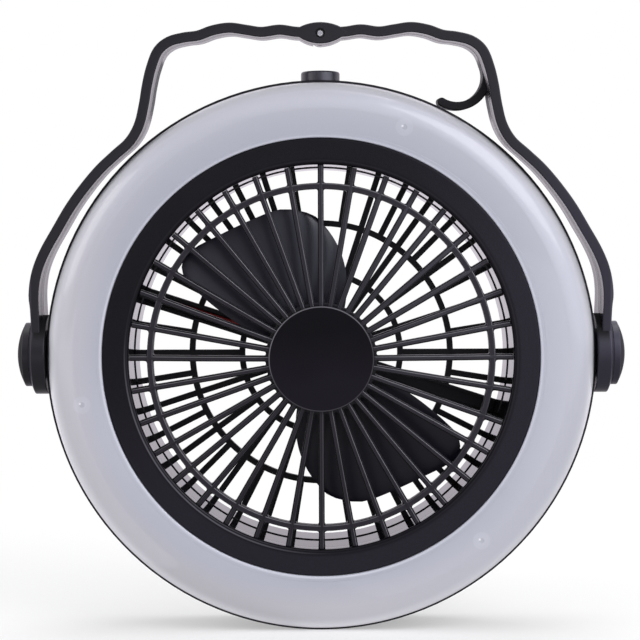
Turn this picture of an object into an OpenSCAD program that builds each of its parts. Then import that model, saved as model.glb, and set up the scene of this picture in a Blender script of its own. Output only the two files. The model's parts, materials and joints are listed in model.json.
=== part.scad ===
// Portable camping fan with a ring light, a U handle and a swing-out hanger hook.
// Z is up, X runs from pivot to pivot, and the fan blows towards -Y.
// Depths (d) are measured from the lip of the bezel towards the back, along +Y.

/* [Duct and rings] */
// Inside radius of the air duct
duct_r = 80.9; // [80:0.1:86]
// Width of the flat black bezel, from the duct to the ring light
bezel_w = 11; // [10.8:0.1:13]
// Width of the frosted ring light
light_w = 24; // [23.5:0.1:27]
// How far the rim bead stands out past the ring light
bead = 1.2; // [1:0.1:2]
// Wall thickness of the black shells
wall = 2.2; // [1.8:0.1:2.4]
// Depth from the lip of the bezel to the rear grille
duct_depth = 42.2; // [42:0.1:46]
// Depth of the seam between the front and the rear half of the duct
seam_d = 24.5; // [23:0.1:27]
// How far the rear half of the duct steps in at the seam
duct_step = 0.4; // [0:0.1:0.8]

/* [Front grille] */
// Number of straight ribs
rib_count = 36; // [24:1:40]
// Width of a rib
rib_w = 2.5; // [1.8:0.1:3]
// Depth of a rib
rib_depth = 4.5; // [3.6:0.1:4.8]
// Distance of the ring that ties the ribs from the duct wall
tie_in = 8.9; // [6:0.1:20]
// Radius of the blank hub cap
hub_r = 22; // [20:0.1:24]
// How far the hub cap stands in front of the lip
hub_proud = 11.5; // [9:0.1:14]
// Thickness of the hub cap
hub_cap_t = 2.5; // [2:0.1:3.5]

/* [Rear grille] */
// Thickness of the rear grille
guard_t = 2.6; // [2.4:0.1:3]
// Number of spokes in the inner zone; each zone outwards has twice as many
guard_n = 10; // [6:2:12]
// Width of a spoke
guard_w = 2.6; // [1.8:0.1:3]
// Mean radius of the outer ring of the rear grille
guard_r1 = 57.1; // [50:0.1:62]
// Mean radius of the inner ring of the rear grille
guard_r2 = 35; // [30:0.1:40]
// Angle of the spoke that carries the motor leads
channel_a = 162; // [158:1:166]
// Width of that spoke
channel_w = 7.6; // [7:0.1:8.4]

/* [Rotor and motor] */
// Radius of the rotor hub
rotor_hub_r = 19.5; // [18.5:0.1:20]
// Thickness of a blade
blade_t = 1.6; // [1.2:0.1:2.2]
// Depth of a blade's trailing edge, the front one
blade_front_d = 5.6; // [5.4:0.1:7]
// Depth from a blade's front edge to its rear edge
blade_pitch = 10; // [7:0.1:12]
// Radius of the motor can
motor_r = 12; // [10.5:0.1:12.6]
// Length of the motor can
motor_len = 21; // [18:0.1:21.4]
// Radius of the motor shaft
shaft_r = 1; // [0.9:0.05:1.5]

/* [Ring light] */
// Number of LEDs
led_count = 30; // [12:6:36]
// Wall of the frosted diffuser
lens_t = 2; // [1.6:0.1:2.4]
// Radius of the diffuser's screw posts
post_r = 3.7; // [3.2:0.1:4]

/* [Button] */
// Radius of the push button
button_r = 8.3; // [7:0.1:8.4]
// How far the button stands above the housing
button_proud = 5.9; // [4.5:0.1:7]
// Travel of the button
button_travel = 1.2; // [0.8:0.1:1.4]

/* [Battery] */
// Radius of a battery cell
cell_r = 9.2; // [8.4:0.1:9.3]
// Length of a battery cell
cell_len = 65; // [50:0.5:65.5]

/* [Handle and hook] */
// Depth of the pivot axis behind the lip
pivot_d = 19.7; // [19:0.1:22]
// Height of the pivot axis above the fan's axis
pivot_up = 0.7; // [0:0.1:1.5]
// Thickness of the handle strip
strip_t = 4.25; // [3.8:0.05:4.5]
// Depth of the handle strip from front to back
strip_w = 26.5; // [22:0.5:27]
// How far the handle leans forward at rest
handle_lean = 3.1; // [-4:0.1:6]
// Radius of the round end of an arm
arm_end_r = 17; // [15:0.1:17.5]
// Radius of a pivot cap
cap_r = 13.7; // [12:0.1:14]
// Inside radius of the hook's curl
curl_r = 10.8; // [9:0.1:11]
// Thickness of the hook's curl
curl_t = 3.6; // [2.8:0.1:3.8]

/* [Clearances] */
// Running clearance on the radius of a pin in its bore
run = 0.05; // [0.03:0.01:0.09]
// Gap between parts that move past each other
gap = 0.3; // [0.3:0.05:0.4]
// Gap between parts that are assembled together
fit = 0.1; // [0.05:0.05:0.15]

/* [Hidden] */

black = [0.06, 0.06, 0.065];
steel = [0.72, 0.73, 0.75];
round_fn = 96;
small_fn = 32;
eps = 0.01;

// Radii of the rings, from the duct outwards
sleeve_r = duct_r + wall;
bezel_r = duct_r + bezel_w;
lens_in_r = bezel_r + 2 * fit;
lens_r = bezel_r + light_w;
rim_r = lens_r + bead;
axis_h = rim_r;

// Depths
guard_d = duct_depth;
back_d = guard_d + guard_t + 0.2;
lip_y = hub_proud - (hub_proud + back_d) / 2;
bezel_front_d = -1.5;
lens_d = -1.6;
lens_edge_d = 9.5;
rim_d0 = lens_edge_d + 2 * fit;
tray_d = 11;
tray_t = 1.6;
ledge_d = tray_d + tray_t;
grille_ring_d = 1.3;
grille_ring_d1 = grille_ring_d + rib_depth;
back_wall_d = back_d - wall;
flange_d = guard_d - wall;

// Side wall of the rear housing
side_front_r = rim_r - 1.1;
side_back_r = rim_r - 2.6;
back_round = 8;
shell_in_r = side_back_r - wall;

// ---- Placing helpers: plans are seen from the front, X right and Z up ----

module turned(profile, fn = 180)
    translate([0, lip_y, axis_h]) rotate([-90, 0, 0]) rotate_extrude($fn = fn) polygon(profile);

module plan(d0, d1)
    translate([0, lip_y + d1, axis_h]) rotate([90, 0, 0]) linear_extrude(d1 - d0) children();

module disc(r, d0, d1, fn = round_fn) plan(d0, d1) circle(r, $fn = fn);

module ring(r_in, r_out, d0, d1, fn = 180)
    plan(d0, d1) difference() {
        circle(r_out, $fn = fn);
        circle(r_in, $fn = fn);
    }

module rod_at(a, ring_r, r, d0, d1)
    plan(d0, d1) rotate(a) translate([ring_r, 0]) circle(r, $fn = small_fn);

module at_pivot() translate([0, lip_y + pivot_d, axis_h + pivot_up]) children();

module x_rod(r, x0, x1, fn = round_fn)
    translate([x0, 0, 0]) rotate([0, 90, 0]) cylinder(r = r, h = x1 - x0, $fn = fn);

module both_sides() {
    children();
    mirror([1, 0, 0]) children();
}

function arc(cx, cy, rx, ry, a0, a1, n) =
    [for (i = [0 : n]) let (a = a0 + (a1 - a0) * i / n) [cx + rx * cos(a), cy + ry * sin(a)]];

function rev(p) = [for (i = [len(p) - 1 : -1 : 0]) p[i]];

// Smooth curve through points, n steps between two of them
function bend(a, b, c, d, t) =
    0.5 * (2 * b + (c - a) * t + (2 * a - 5 * b + 4 * c - d) * t * t
        + (3 * b - a - 3 * c + d) * t * t * t);
function ends(p) = concat([2 * p[0] - p[1]], p, [2 * p[len(p) - 1] - p[len(p) - 2]]);
function smooth(p, n) = let (q = ends(p)) concat(
    [for (i = [1 : len(q) - 3]) for (k = [0 : n - 1])
        bend(q[i - 1], q[i], q[i + 1], q[i + 2], k / n)],
    [p[len(p) - 1]]);

// ---- Rear housing: outer shell, rear half of the duct, pillars, trunnions, foot block ----

pillar_r = 4.3;
pillar_ring_r = duct_r + 6.1;
pillar_d = 22;
pillar_angles = [45, 135, 225, 315];
housing_screw_r = 1.5;
housing_head_r = 2.8;
head_seat_d = 27;

lug_r = 4.2;
lug_angles = [0, 90, 180, 270];
guard_rim_r = duct_r + 3.3;
grille_screw_r = 1.2;
grille_head_r = 2.3;
grille_screw_len = 7;

trunnion_r = 5;
side_pad_x = rim_r - 0.4;
side_pad_r = 10.5;
arm_x0 = side_pad_x + gap;
arm_x1 = arm_x0 + 4.4;
trunnion_x = arm_x1 + gap;
washer_t = 0.8;
washer_r = 7.5;
pivot_screw_r = 1.5;
pivot_screw_len = 15;
pivot_head_r = 3.6;
pivot_head_t = 2.1;

foot_w = 54;
foot_d0 = 26.5;
foot_d1 = back_d - 1.5;
foot_h = 1.2;
pad_w = 11;
pad_x = 19.5;

button_d = 22;
board_w = 44;
board_h = 20;
board_z = duct_r + 3.6;
board_t = 1.6;
board_d = 30;
board_mid_z = board_z + board_h / 2;
board_post_x = 17;
board_post_r = 3;
board_screw_r = 1;

socket_x = 8;
socket_z = board_z + 12;
socket_w = 9;
socket_h = 3.4;

module shell() {
    turned(concat(
        [[rim_r - 2.1, rim_d0], [rim_r - 0.3, rim_d0], [rim_r, rim_d0 + 0.3],
         [rim_r, rim_d0 + 1.5], [side_front_r, rim_d0 + 2.4]],
        arc(side_back_r - back_round, back_d - back_round, back_round, back_round, 0, 90, 16),
        [[guard_rim_r + fit, back_d], [guard_rim_r + fit, guard_d],
         [duct_r - duct_step, guard_d], [duct_r - duct_step, seam_d + fit],
         [sleeve_r, seam_d + fit], [sleeve_r, flange_d],
         [pillar_ring_r + 5.7, flange_d], [pillar_ring_r + 5.7, back_wall_d],
         [shell_in_r - 6, back_wall_d], [shell_in_r, back_wall_d - 6],
         [side_front_r - wall, ledge_d + 3], [rim_r - 5, ledge_d + 1], [rim_r - 5, ledge_d],
         [rim_r - 2.1, ledge_d]]), 240);
}

module foot_block()
    difference() {
        translate([-foot_w / 2, lip_y + foot_d0, foot_h])
            cube([foot_w, foot_d1 - foot_d0, 9]);
        turned([[0, foot_d0 - 2], [shell_in_r + 0.8, foot_d0 - 2],
            [shell_in_r + 0.3, back_wall_d - 6], [shell_in_r - 5.5, back_wall_d + 0.3],
            [0, back_wall_d + 0.3]]);
    }

module posts() {
    for (a = pillar_angles) rod_at(a, pillar_ring_r, pillar_r, pillar_d, back_wall_d + 0.5);
    for (a = lug_angles)
        rod_at(a, pillar_ring_r, 2.8, guard_d - grille_screw_len - 1, flange_d + 0.5);
    for (x = [-board_post_x, board_post_x])
        plan(board_d + board_t, back_wall_d + 0.5)
            translate([x, board_mid_z]) circle(board_post_r, $fn = small_fn);
}

module rear_housing() color(black) {
    difference() {
        union() {
            shell();
            foot_block();
            posts();
            intersection() {
                at_pivot() both_sides() x_rod(side_pad_r, shell_in_r - 7, side_pad_x);
                disc(rim_r + 12, ledge_d + 0.2, back_wall_d, 180);
            }
            at_pivot() both_sides() x_rod(trunnion_r, side_pad_x - 6, trunnion_x);
        }
        // Flats beside the arm ends
        at_pivot() both_sides() difference() {
            x_rod(arm_end_r + 0.5, side_pad_x, rim_r + 8);
            x_rod(trunnion_r, side_pad_x - 1, rim_r + 9);
        }
        at_pivot() both_sides()
            x_rod(pivot_screw_r + run, trunnion_x + washer_t - pivot_screw_len - 0.5, trunnion_x + 1, small_fn);
        disc(sleeve_r + fit, pillar_d - 1, seam_d + fit, 180);
        disc(guard_rim_r + fit, guard_d, back_d + 1, 180);
        for (a = pillar_angles) {
            rod_at(a, pillar_ring_r, housing_head_r + 2 * fit, head_seat_d, back_d + 1);
            rod_at(a, pillar_ring_r, housing_screw_r + fit, pillar_d - 1, head_seat_d + 1);
        }
        for (a = lug_angles) {
            rod_at(a, pillar_ring_r, lug_r + fit, guard_d, back_d + 1);
            rod_at(a, pillar_ring_r, grille_screw_r + run, guard_d - grille_screw_len, guard_d + 1);
        }
        for (x = [-board_post_x, board_post_x])
            plan(board_d, back_wall_d - 1)
                translate([x, board_mid_z]) circle(board_screw_r + run, $fn = small_fn);
        // Way for the motor leads through the rear end of the duct
        plan(guard_d - 4, back_wall_d) rotate(channel_a)
            translate([duct_r - 1, 1.2 - channel_w / 2]) square([14, channel_w - 2.4]);
        // Button hole and charging slot
        translate([0, lip_y + button_d, axis_h + duct_r + 12])
            cylinder(r = button_r + gap, h = rim_r, $fn = round_fn);
        plan(back_wall_d - 1, back_d + 1) translate([socket_x, socket_z])
            square([socket_w + 0.8, socket_h + 0.8], center = true);
    }
}

module rubber_feet() color([0.05, 0.05, 0.05])
    for (s = [-1, 1])
        translate([s * pad_x - pad_w / 2, lip_y + foot_d0 + 1.5, 0])
            cube([pad_w, foot_d1 - foot_d0 - 4, foot_h]);

// ---- Rear grille: three zones of spokes, two rings, lead channels and motor cup ----

cup_r = motor_r + fit + 2;
can_d0 = guard_d - motor_len - 2.4;
can_d1 = can_d0 + motor_len;
ear_x = cup_r + 0.7;
ear_r = 2.4;
motor_screw_r = 0.9;
retainer_t = 1.6;

module spokes(n, r0, r1)
    for (i = [0 : n - 1]) {
        a = channel_a + i * 360 / n;
        if (i != 0 && i != n / 2)
            rotate(a) translate([r0, -guard_w / 2]) square([r1 - r0, guard_w]);
    }

module rear_grille() color(black) {
    floor_d = guard_d + guard_t - 1.1;
    difference() {
        union() {
            plan(guard_d, guard_d + guard_t) {
                spokes(guard_n, cup_r - 0.5, guard_r2);
                spokes(2 * guard_n, guard_r2, guard_r1);
                spokes(4 * guard_n, guard_r1, duct_r + 0.6);
            }
            for (r = [guard_r1, guard_r2])
                ring(r - guard_w / 2, r + guard_w / 2, guard_d, guard_d + guard_t);
            ring(duct_r + fit, guard_rim_r, guard_d + fit, guard_d + guard_t);
            for (a = lug_angles)
                rod_at(a, pillar_ring_r, lug_r, guard_d + fit, guard_d + guard_t);
            for (a = [channel_a, channel_a + 180]) {
                plan(guard_d - 1, guard_d + guard_t) rotate(a) translate([cup_r - 0.5, -channel_w / 2])
                    square([duct_r - duct_step - cup_r + 0.3, channel_w]);
                plan(guard_d, guard_d + guard_t) rotate(a)
                    translate([guard_r1, -channel_w / 2]) square([duct_r + 0.6 - guard_r1, channel_w]);
            }
            disc(cup_r, can_d0, guard_d + guard_t);
            for (s = [-1, 1])
                plan(can_d0, can_d0 + 8) translate([s * ear_x, 0]) circle(ear_r, $fn = small_fn);
        }
        disc(motor_r + fit, can_d0 - 1, can_d1 + 2.8);
        for (s = [-1, 1])
            plan(can_d0 - 1, can_d0 + 7)
                translate([s * ear_x, 0]) circle(motor_screw_r + run, $fn = small_fn);
        // Lead channels, open to the front
        for (a = [channel_a, channel_a + 180])
            plan(guard_d - 2, floor_d) rotate(a)
                translate([motor_r - 1, 1.2 - channel_w / 2])
                    square([duct_r - motor_r, channel_w - 2.4]);
        plan(guard_d - 2, floor_d) rotate(channel_a)
            translate([duct_r - 2, 1.2 - channel_w / 2]) square([8, channel_w - 2.4]);
        for (a = lug_angles) {
            rod_at(a, pillar_ring_r, grille_head_r + fit, guard_d + 1.2, guard_d + guard_t + 1);
            rod_at(a, pillar_ring_r, grille_screw_r + fit, guard_d - 1, guard_d + 2);
        }
    }
}

module grille_screws() color(steel)
    for (a = lug_angles) {
        rod_at(a, pillar_ring_r, grille_head_r, guard_d + 1.2, guard_d + 2.4);
        rod_at(a, pillar_ring_r, grille_screw_r, guard_d - grille_screw_len + 0.5, guard_d + 1.3);
    }

module housing_screws() color(steel)
    for (a = pillar_angles) {
        rod_at(a, pillar_ring_r, housing_head_r, head_seat_d, head_seat_d + 2);
        rod_at(a, pillar_ring_r, housing_screw_r, ledge_d - 0.6, head_seat_d + 0.1);
    }

// ---- Front bezel: rounded lip, flat ring, light wall and the front half of the duct ----

lip_round = 1.8;

module front_bezel() color(black) {
    difference() {
        union() {
            turned(concat(
                arc(duct_r + lip_round, bezel_front_d + lip_round, lip_round, lip_round, 180, 270, 8),
                [[bezel_r - 0.6, bezel_front_d], [bezel_r, bezel_front_d + 0.6],
                 [bezel_r, tray_d - fit], [bezel_r - 1.9, tray_d - fit], [bezel_r - 1.9, 0.7],
                 [sleeve_r, 0.7], [sleeve_r, seam_d], [duct_r, seam_d],
                 [duct_r, grille_ring_d1 + fit], [duct_r + 1.1, grille_ring_d1 + fit],
                 [duct_r + 1.1, grille_ring_d - fit], [duct_r, grille_ring_d - fit]]));
            for (a = pillar_angles) {
                rod_at(a, pillar_ring_r, 3.1, 0.5, pillar_d - fit);
                plan(0.5, pillar_d - fit) rotate(a)
                    translate([sleeve_r - 1, -0.8]) square([3, 1.6]);
            }
        }
        for (a = pillar_angles)
            rod_at(a, pillar_ring_r, housing_screw_r + run, 10, pillar_d + 1);
    }
}

// ---- Front grille: straight ribs that rise to the hub ----

tie_r = duct_r - tie_in;
tie_w = 2.6;
hub_back_d = hub_cap_t - hub_proud;
plate_r = hub_r - 1.2;
flat_from_r = 76;
rib_end_r = duct_r - 0.15;
rib_radii = [for (i = [0 : 7]) plate_r - 1.5 + (rib_end_r - plate_r + 1.5) * i / 7];

function rib_top(r) = r < flat_from_r ? (hub_back_d + 0.5) * (1 - pow(r / flat_from_r, 2)) : 0;

// Side view of a rib (radius, depth) stood in its radial plane
module rib(a, w, low, high)
    translate([0, lip_y, axis_h]) rotate([0, -a, 0]) translate([0, 0, -w / 2])
        linear_extrude(w) polygon(concat([for (r = rib_radii) [r, rib_top(r) + low]],
            rev([for (r = rib_radii) [r, rib_top(r) + high]])));

module front_grille() color(black) {
    difference() {
        union() {
            for (i = [0 : rib_count - 1]) {
                rib(90 + i * 360 / rib_count, rib_w, 0.7, rib_depth);
                rib(90 + i * 360 / rib_count, rib_w * 0.55, 0, 1);
            }
            ring(tie_r - tie_w / 2, tie_r + tie_w / 2, rib_top(tie_r) + fit, rib_depth - 0.5);
            turned([[duct_r - 0.3, grille_ring_d + 0.3], [duct_r, grille_ring_d],
                [duct_r + 1, grille_ring_d], [duct_r + 1, grille_ring_d1],
                [duct_r, grille_ring_d1], [duct_r - 0.3, grille_ring_d1 - 0.3]]);
            disc(plate_r, hub_back_d, hub_back_d + 4.4);
        }
        disc(4 + fit, hub_back_d - 1, hub_back_d + 3, small_fn);
        disc(plate_r - 4, hub_back_d + 2.4, 6);
    }
}

module hub_cap() color(black)
    turned([[0, -hub_proud], [hub_r - 0.6, -hub_proud], [hub_r, 0.6 - hub_proud],
        [hub_r, hub_back_d], [4, hub_back_d], [4, hub_back_d + 2], [0, hub_back_d + 2]], round_fn);

// ---- Ring light: diffuser, LEDs, board, tray and its screws ----

led_ring_r = bezel_r + 10.6;
led_w = 3.5;
led_h = 2.8;
led_t = 0.8;
led_board_t = 1.2;
light_post_angles = [70, 191, 311];
lens_flat_r = lens_r - 11.9;
lens_rx = 11.9;
lens_ry = lens_edge_d - lens_d;

module diffuser() color([0.86, 0.88, 0.93]) {
    difference() {
        union() {
            turned(concat(
                [[lens_in_r, tray_d - 2 * fit], [lens_in_r, lens_d + 1.1],
                 [lens_in_r + 0.9, lens_d + 0.3]],
                arc(lens_flat_r, lens_edge_d, lens_rx, lens_ry, 270, 360, 14),
                [[rim_r - 2.2, lens_edge_d], [rim_r - 2.2, tray_d - fit],
                 [lens_r - 2.4, tray_d - fit]],
                arc(lens_flat_r, lens_edge_d, lens_rx - 2.4, lens_ry - lens_t, 360, 270, 14),
                [[lens_in_r + 1.8, lens_d + lens_t], [lens_in_r + 1.8, tray_d - 2 * fit]]));
            for (a = light_post_angles)
                rod_at(a, led_ring_r, post_r, lens_d + lens_t - 0.2, tray_d - fit);
        }
        for (a = light_post_angles) rod_at(a, led_ring_r, 1.25 + run, lens_d + 4, tray_d + 1);
    }
}

module light_tray() color([0.93, 0.93, 0.93])
    difference() {
        ring(sleeve_r + 0.5, rim_r - 2.2, tray_d, ledge_d, 240);
        for (a = pillar_angles)
            plan(tray_d - 1, ledge_d + 1) rotate(a) {
                translate([pillar_ring_r, 0]) circle(3.4, $fn = small_fn);
                translate([sleeve_r, -3.4]) square([pillar_ring_r - sleeve_r, 6.8]);
            }
        for (a = light_post_angles)
            rod_at(a, led_ring_r, 1.25 + fit, tray_d - 1, ledge_d + 1);
    }

module led_board() color([0.95, 0.95, 0.93])
    difference() {
        ring(led_ring_r - 6.5, led_ring_r + 6.5, tray_d - led_board_t, tray_d);
        for (a = light_post_angles)
            rod_at(a, led_ring_r, post_r + gap, tray_d - 3, tray_d + 1);
    }

module leds() color([0.97, 0.93, 0.70])
    for (i = [0 : led_count - 1])
        plan(tray_d - led_board_t - led_t, tray_d - led_board_t)
            rotate((i + 0.5) * 360 / led_count) translate([led_ring_r, 0])
                square([led_h, led_w], center = true);

module diffuser_screws() color(steel)
    for (a = light_post_angles) {
        rod_at(a, led_ring_r, 2.6, ledge_d, ledge_d + 1.6);
        rod_at(a, led_ring_r, 1.25, lens_d + 5, ledge_d + 0.1);
    }

// ---- Rotor: hub shell and two swept blades; it turns clockwise seen from the front ----

rotor_d0 = 3.2;
rotor_d1 = 16.4;
blade_steps = 14;
blade_cols = 8;
blade_scale = duct_r / 80.9;
lead_edge = [[10, 15.5], [17, 42], [-2, 59.5]];
trail_edge = [[-17.2, 4.6], [-38.5, 13.5], [-57, 33]];
tip_polar = [[92, 59.5], [97, 62.1], [106, 65], [118, 65.2], [132, 67.6], [141, 70.2],
    [146, 69.8], [149.9, 65.9]];

function bez(p, t) = p[0] * pow(1 - t, 2) + p[1] * 2 * t * (1 - t) + p[2] * t * t;
tip_line = smooth([for (p = tip_polar) p[1] * [cos(p[0]), sin(p[0])]], 8);
function tip_at(c) = let (x = c * (len(tip_line) - 1), i = min(floor(x), len(tip_line) - 2), f = x - i)
    tip_line[i] * (1 - f) + tip_line[i + 1] * f;
function root_at(c) = let (a = 59.9 + c * 105.1) 17.85 * [cos(a), sin(a)];

// Plan point of a blade at span s (0 root, 1 tip) and chord c (0 leading, 1 trailing)
function blade_xy(s, c) =
    (1 - c) * bez(lead_edge, s) + c * bez(trail_edge, s) + (1 - s) * root_at(c) + s * tip_at(c)
    - (1 - s) * ((1 - c) * lead_edge[0] + c * trail_edge[0])
    - s * ((1 - c) * lead_edge[2] + c * trail_edge[2]);
function blade_face(s, c) = blade_front_d + blade_pitch * pow(1 - c, 1.25) * (1 - 0.12 * s)
    + 0.4 * sin(180 * c);
function blade_thick(c) = blade_t * (0.45 + 0.55 * pow(sin(180 * min(max(c, 0.02), 0.98)), 0.7));

module blade() {
    ns = blade_steps;
    nc = blade_cols;
    row = nc + 1;
    top = [for (i = [0 : ns]) for (j = [0 : nc]) let (s = i / ns, c = j / nc, p = blade_xy(s, c))
        [p[0] * blade_scale, blade_face(s, c), p[1] * blade_scale]];
    low = [for (i = [0 : ns]) for (j = [0 : nc]) let (s = i / ns, c = j / nc, p = blade_xy(s, c))
        [p[0] * blade_scale, blade_face(s, c) + blade_thick(c), p[1] * blade_scale]];
    n = len(top);
    cells = [for (i = [0 : ns - 1]) for (j = [0 : nc - 1]) i * row + j];
    polyhedron(points = concat(top, low), faces = concat(
        [for (k = cells) [k, k + 1, k + row]],
        [for (k = cells) [k + 1, k + row + 1, k + row]],
        [for (k = cells) [n + k, n + k + row, n + k + 1]],
        [for (k = cells) [n + k + 1, n + k + row, n + k + row + 1]],
        [for (j = [0 : nc - 1]) [j, n + j, n + j + 1, j + 1]],
        [for (j = [0 : nc - 1]) let (k = ns * row + j) [k, k + 1, n + k + 1, n + k]],
        [for (i = [0 : ns - 1]) let (k = i * row) [k, k + row, n + k + row, n + k]],
        [for (i = [0 : ns - 1]) let (k = i * row + nc) [k, n + k, n + k + row, k + row]]));
}

module rotor() color([0.08, 0.08, 0.085]) {
    difference() {
        union() {
            turned([[0, rotor_d0], [rotor_hub_r - 1.5, rotor_d0], [rotor_hub_r, rotor_d0 + 1.5],
                [rotor_hub_r, rotor_d1], [rotor_hub_r - 1.9, rotor_d1],
                [rotor_hub_r - 1.9, rotor_d0 + 2], [4, rotor_d0 + 2], [4, rotor_d1 - 0.6],
                [0, rotor_d1 - 0.6]], round_fn);
            translate([0, lip_y, axis_h]) for (a = [0, 180]) rotate([0, a, 0]) blade();
        }
        disc(shaft_r + 0.02, rotor_d0 - 1, rotor_d1 + 1, 48);
        ring(4, rotor_hub_r - 1.9, rotor_d0 + 2, rotor_d1 + 4, round_fn);
    }
}

module rotor_clip() color([0.75, 0.60, 0.30])
    ring(shaft_r + 0.02, 3, rotor_d0 - 1, rotor_d0, 48);

module motor_shaft() color(steel) disc(shaft_r, rotor_d0 - 1.4, can_d0 + 8, 48);

module motor_can() color([0.60, 0.61, 0.63])
    difference() {
        disc(motor_r, can_d0, can_d1);
        disc(shaft_r + run, can_d0 - 1, can_d0 + 8.6, 48);
    }

module motor_bush() color([0.70, 0.55, 0.28])
    ring(shaft_r + run, 3, can_d0 - 1.9, can_d0, 48);

module motor_end_cap() color([0.90, 0.89, 0.85])
    disc(motor_r - 0.6, can_d1, can_d1 + 2.4);

module motor_retainer() color(black)
    difference() {
        plan(can_d0 - retainer_t, can_d0) {
            circle(cup_r, $fn = round_fn);
            for (s = [-1, 1]) translate([s * ear_x, 0]) circle(ear_r + 0.4, $fn = small_fn);
        }
        disc(3 + fit, can_d0 - 3, can_d0 + 1, 48);
        for (s = [-1, 1])
            plan(can_d0 - 3, can_d0 + 1)
                translate([s * ear_x, 0]) circle(motor_screw_r + fit, $fn = small_fn);
    }

module motor_screws() color(steel)
    for (s = [-1, 1]) {
        plan(can_d0 - retainer_t - 0.9, can_d0 - retainer_t)
            translate([s * ear_x, 0]) circle(1.7, $fn = small_fn);
        plan(can_d0 - retainer_t - 0.1, can_d0 + 6)
            translate([s * ear_x, 0]) circle(motor_screw_r, $fn = small_fn);
    }

// ---- Motor leads: along the channel, forward, and round to the control board ----

lead_r = 0.65;
lead_d = guard_d - 0.2;
lead_turn_d = 33;
lead_end_a = 103;

module lead(side, turn_r) {
    run_r = sqrt(turn_r * turn_r - side * side);
    a0 = channel_a + atan2(side, run_r);
    translate([0, lip_y, axis_h]) {
        rotate([0, -channel_a, 0]) translate([motor_r - 0.5, lead_d, side])
            rotate([0, 90, 0]) cylinder(r = lead_r, h = run_r - motor_r + 0.5, $fn = small_fn);
        rotate([0, -channel_a, 0]) translate([run_r, lead_d, side]) sphere(lead_r * 1.03, $fn = small_fn);
        rotate([0, -channel_a, 0]) translate([run_r, lead_turn_d, side])
            rotate([-90, 0, 0]) cylinder(r = lead_r, h = lead_d - lead_turn_d, $fn = small_fn);
        rotate([0, -a0, 0]) translate([turn_r, lead_turn_d, 0]) sphere(lead_r * 1.03, $fn = small_fn);
        rotate([0, -lead_end_a, 0]) translate([0, lead_turn_d, 0]) rotate([90, 0, 0])
            rotate_extrude(angle = a0 - lead_end_a, $fn = 120)
                translate([turn_r, 0]) circle(lead_r, $fn = small_fn);
        rotate([0, -lead_end_a, 0]) translate([turn_r, lead_turn_d, 0])
            sphere(lead_r * 1.03, $fn = small_fn);
        rotate([0, -lead_end_a, 0]) translate([turn_r, board_d + board_t, 0])
            rotate([-90, 0, 0])
                cylinder(r = lead_r, h = lead_turn_d - board_d - board_t, $fn = small_fn);
    }
}

module lead_red() color([0.75, 0.08, 0.06]) lead(-1, duct_r + 11.6);
module lead_black() color([0.05, 0.05, 0.05]) lead(1, duct_r + 13.3);

// ---- Battery cells in two cradles on the rear wall ----

cradle_t = 10;
cradle_leg = 4.8;
cradle_wall = 1.1;
cradle_side = 0.7;
cradle_end = 1.3;
cradle_room = 2.3;
leg_t = 6;
leg_w = 9;
leg_in = 7.5;
pole_r = 3;
pole_h = 1;
cell_ring_r = sleeve_r + cradle_room + cradle_wall + cell_r;
cell_d = back_wall_d - cradle_t - cradle_leg;
cell_a = atan((cell_len / 2 + cradle_end + 5 * gap) / (cell_ring_r - cell_r - cradle_wall));

module along_cell(a) rotate([0, -a, 0]) translate([cell_ring_r, cell_d, 0]) children();

module battery_cells() color([0.16, 0.38, 0.66])
    translate([0, lip_y, axis_h]) for (s = [-1, 1]) along_cell(270 + s * cell_a)
        translate([0, 0, -cell_len / 2]) {
            cylinder(r = cell_r, h = cell_len - pole_h, $fn = round_fn);
            translate([0, 0, cell_len - 1.1 * pole_h])
                cylinder(r = pole_r, h = 1.1 * pole_h, $fn = small_fn);
        }

module battery_cradles() color([0.10, 0.10, 0.11])
    translate([0, lip_y, axis_h]) for (s = [-1, 1]) along_cell(270 + s * cell_a)
        difference() {
            half = cell_len / 2 + cradle_end;
            union() {
                translate([-cell_r - cradle_wall, 0, -half])
                    cube([2 * cell_r + cradle_wall + cradle_side, cradle_t, 2 * half]);
                for (z = [leg_in - cell_len / 2, cell_len / 2 - leg_in - leg_t])
                    translate([-leg_w / 2 - fit, cradle_t - 1, z])
                        cube([leg_w, back_wall_d - cell_d - cradle_t + 1, leg_t]);
            }
            translate([0, 0, -cell_len / 2 - fit])
                cylinder(r = cell_r + fit, h = cell_len + 2 * fit, $fn = round_fn);
        }

// ---- Control board, switch, button and charging socket ----

switch_top_z = board_z + 23;
plunger_r = 1.75;
plunger_z = switch_top_z - 1.6;
stem_z = switch_top_z + 2.1;
button_top_z = side_front_r + button_proud;
flange_r = button_r + 0.7;
flange_z = rim_r - 6.5;

module control_board() color([0.05, 0.32, 0.16])
    difference() {
        plan(board_d, board_d + board_t)
            translate([-board_w / 2, board_z]) square([board_w, board_h]);
        for (x = [-board_post_x, board_post_x])
            plan(board_d - 1, board_d + board_t + 1)
                translate([x, board_mid_z]) circle(board_screw_r + fit, $fn = small_fn);
    }

module board_screws() color(steel)
    for (x = [-board_post_x, board_post_x]) {
        plan(board_d - 1.4, board_d) translate([x, board_mid_z]) circle(2, $fn = small_fn);
        plan(board_d - 0.1, board_d + 8)
            translate([x, board_mid_z]) circle(board_screw_r, $fn = small_fn);
    }

module z_rod(r, z0, z1, fn = small_fn)
    translate([0, lip_y + button_d, axis_h + z0]) cylinder(r = r, h = z1 - z0, $fn = fn);

module button_switch() color([0.12, 0.12, 0.13])
    difference() {
        plan(17, board_d) translate([-5, board_z + 13]) square([10, switch_top_z - board_z - 13]);
        z_rod(plunger_r + run, plunger_z - button_travel - 0.6, switch_top_z + 1);
    }

module switch_plunger() color([0.85, 0.83, 0.78]) z_rod(plunger_r, plunger_z, stem_z);

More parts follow.
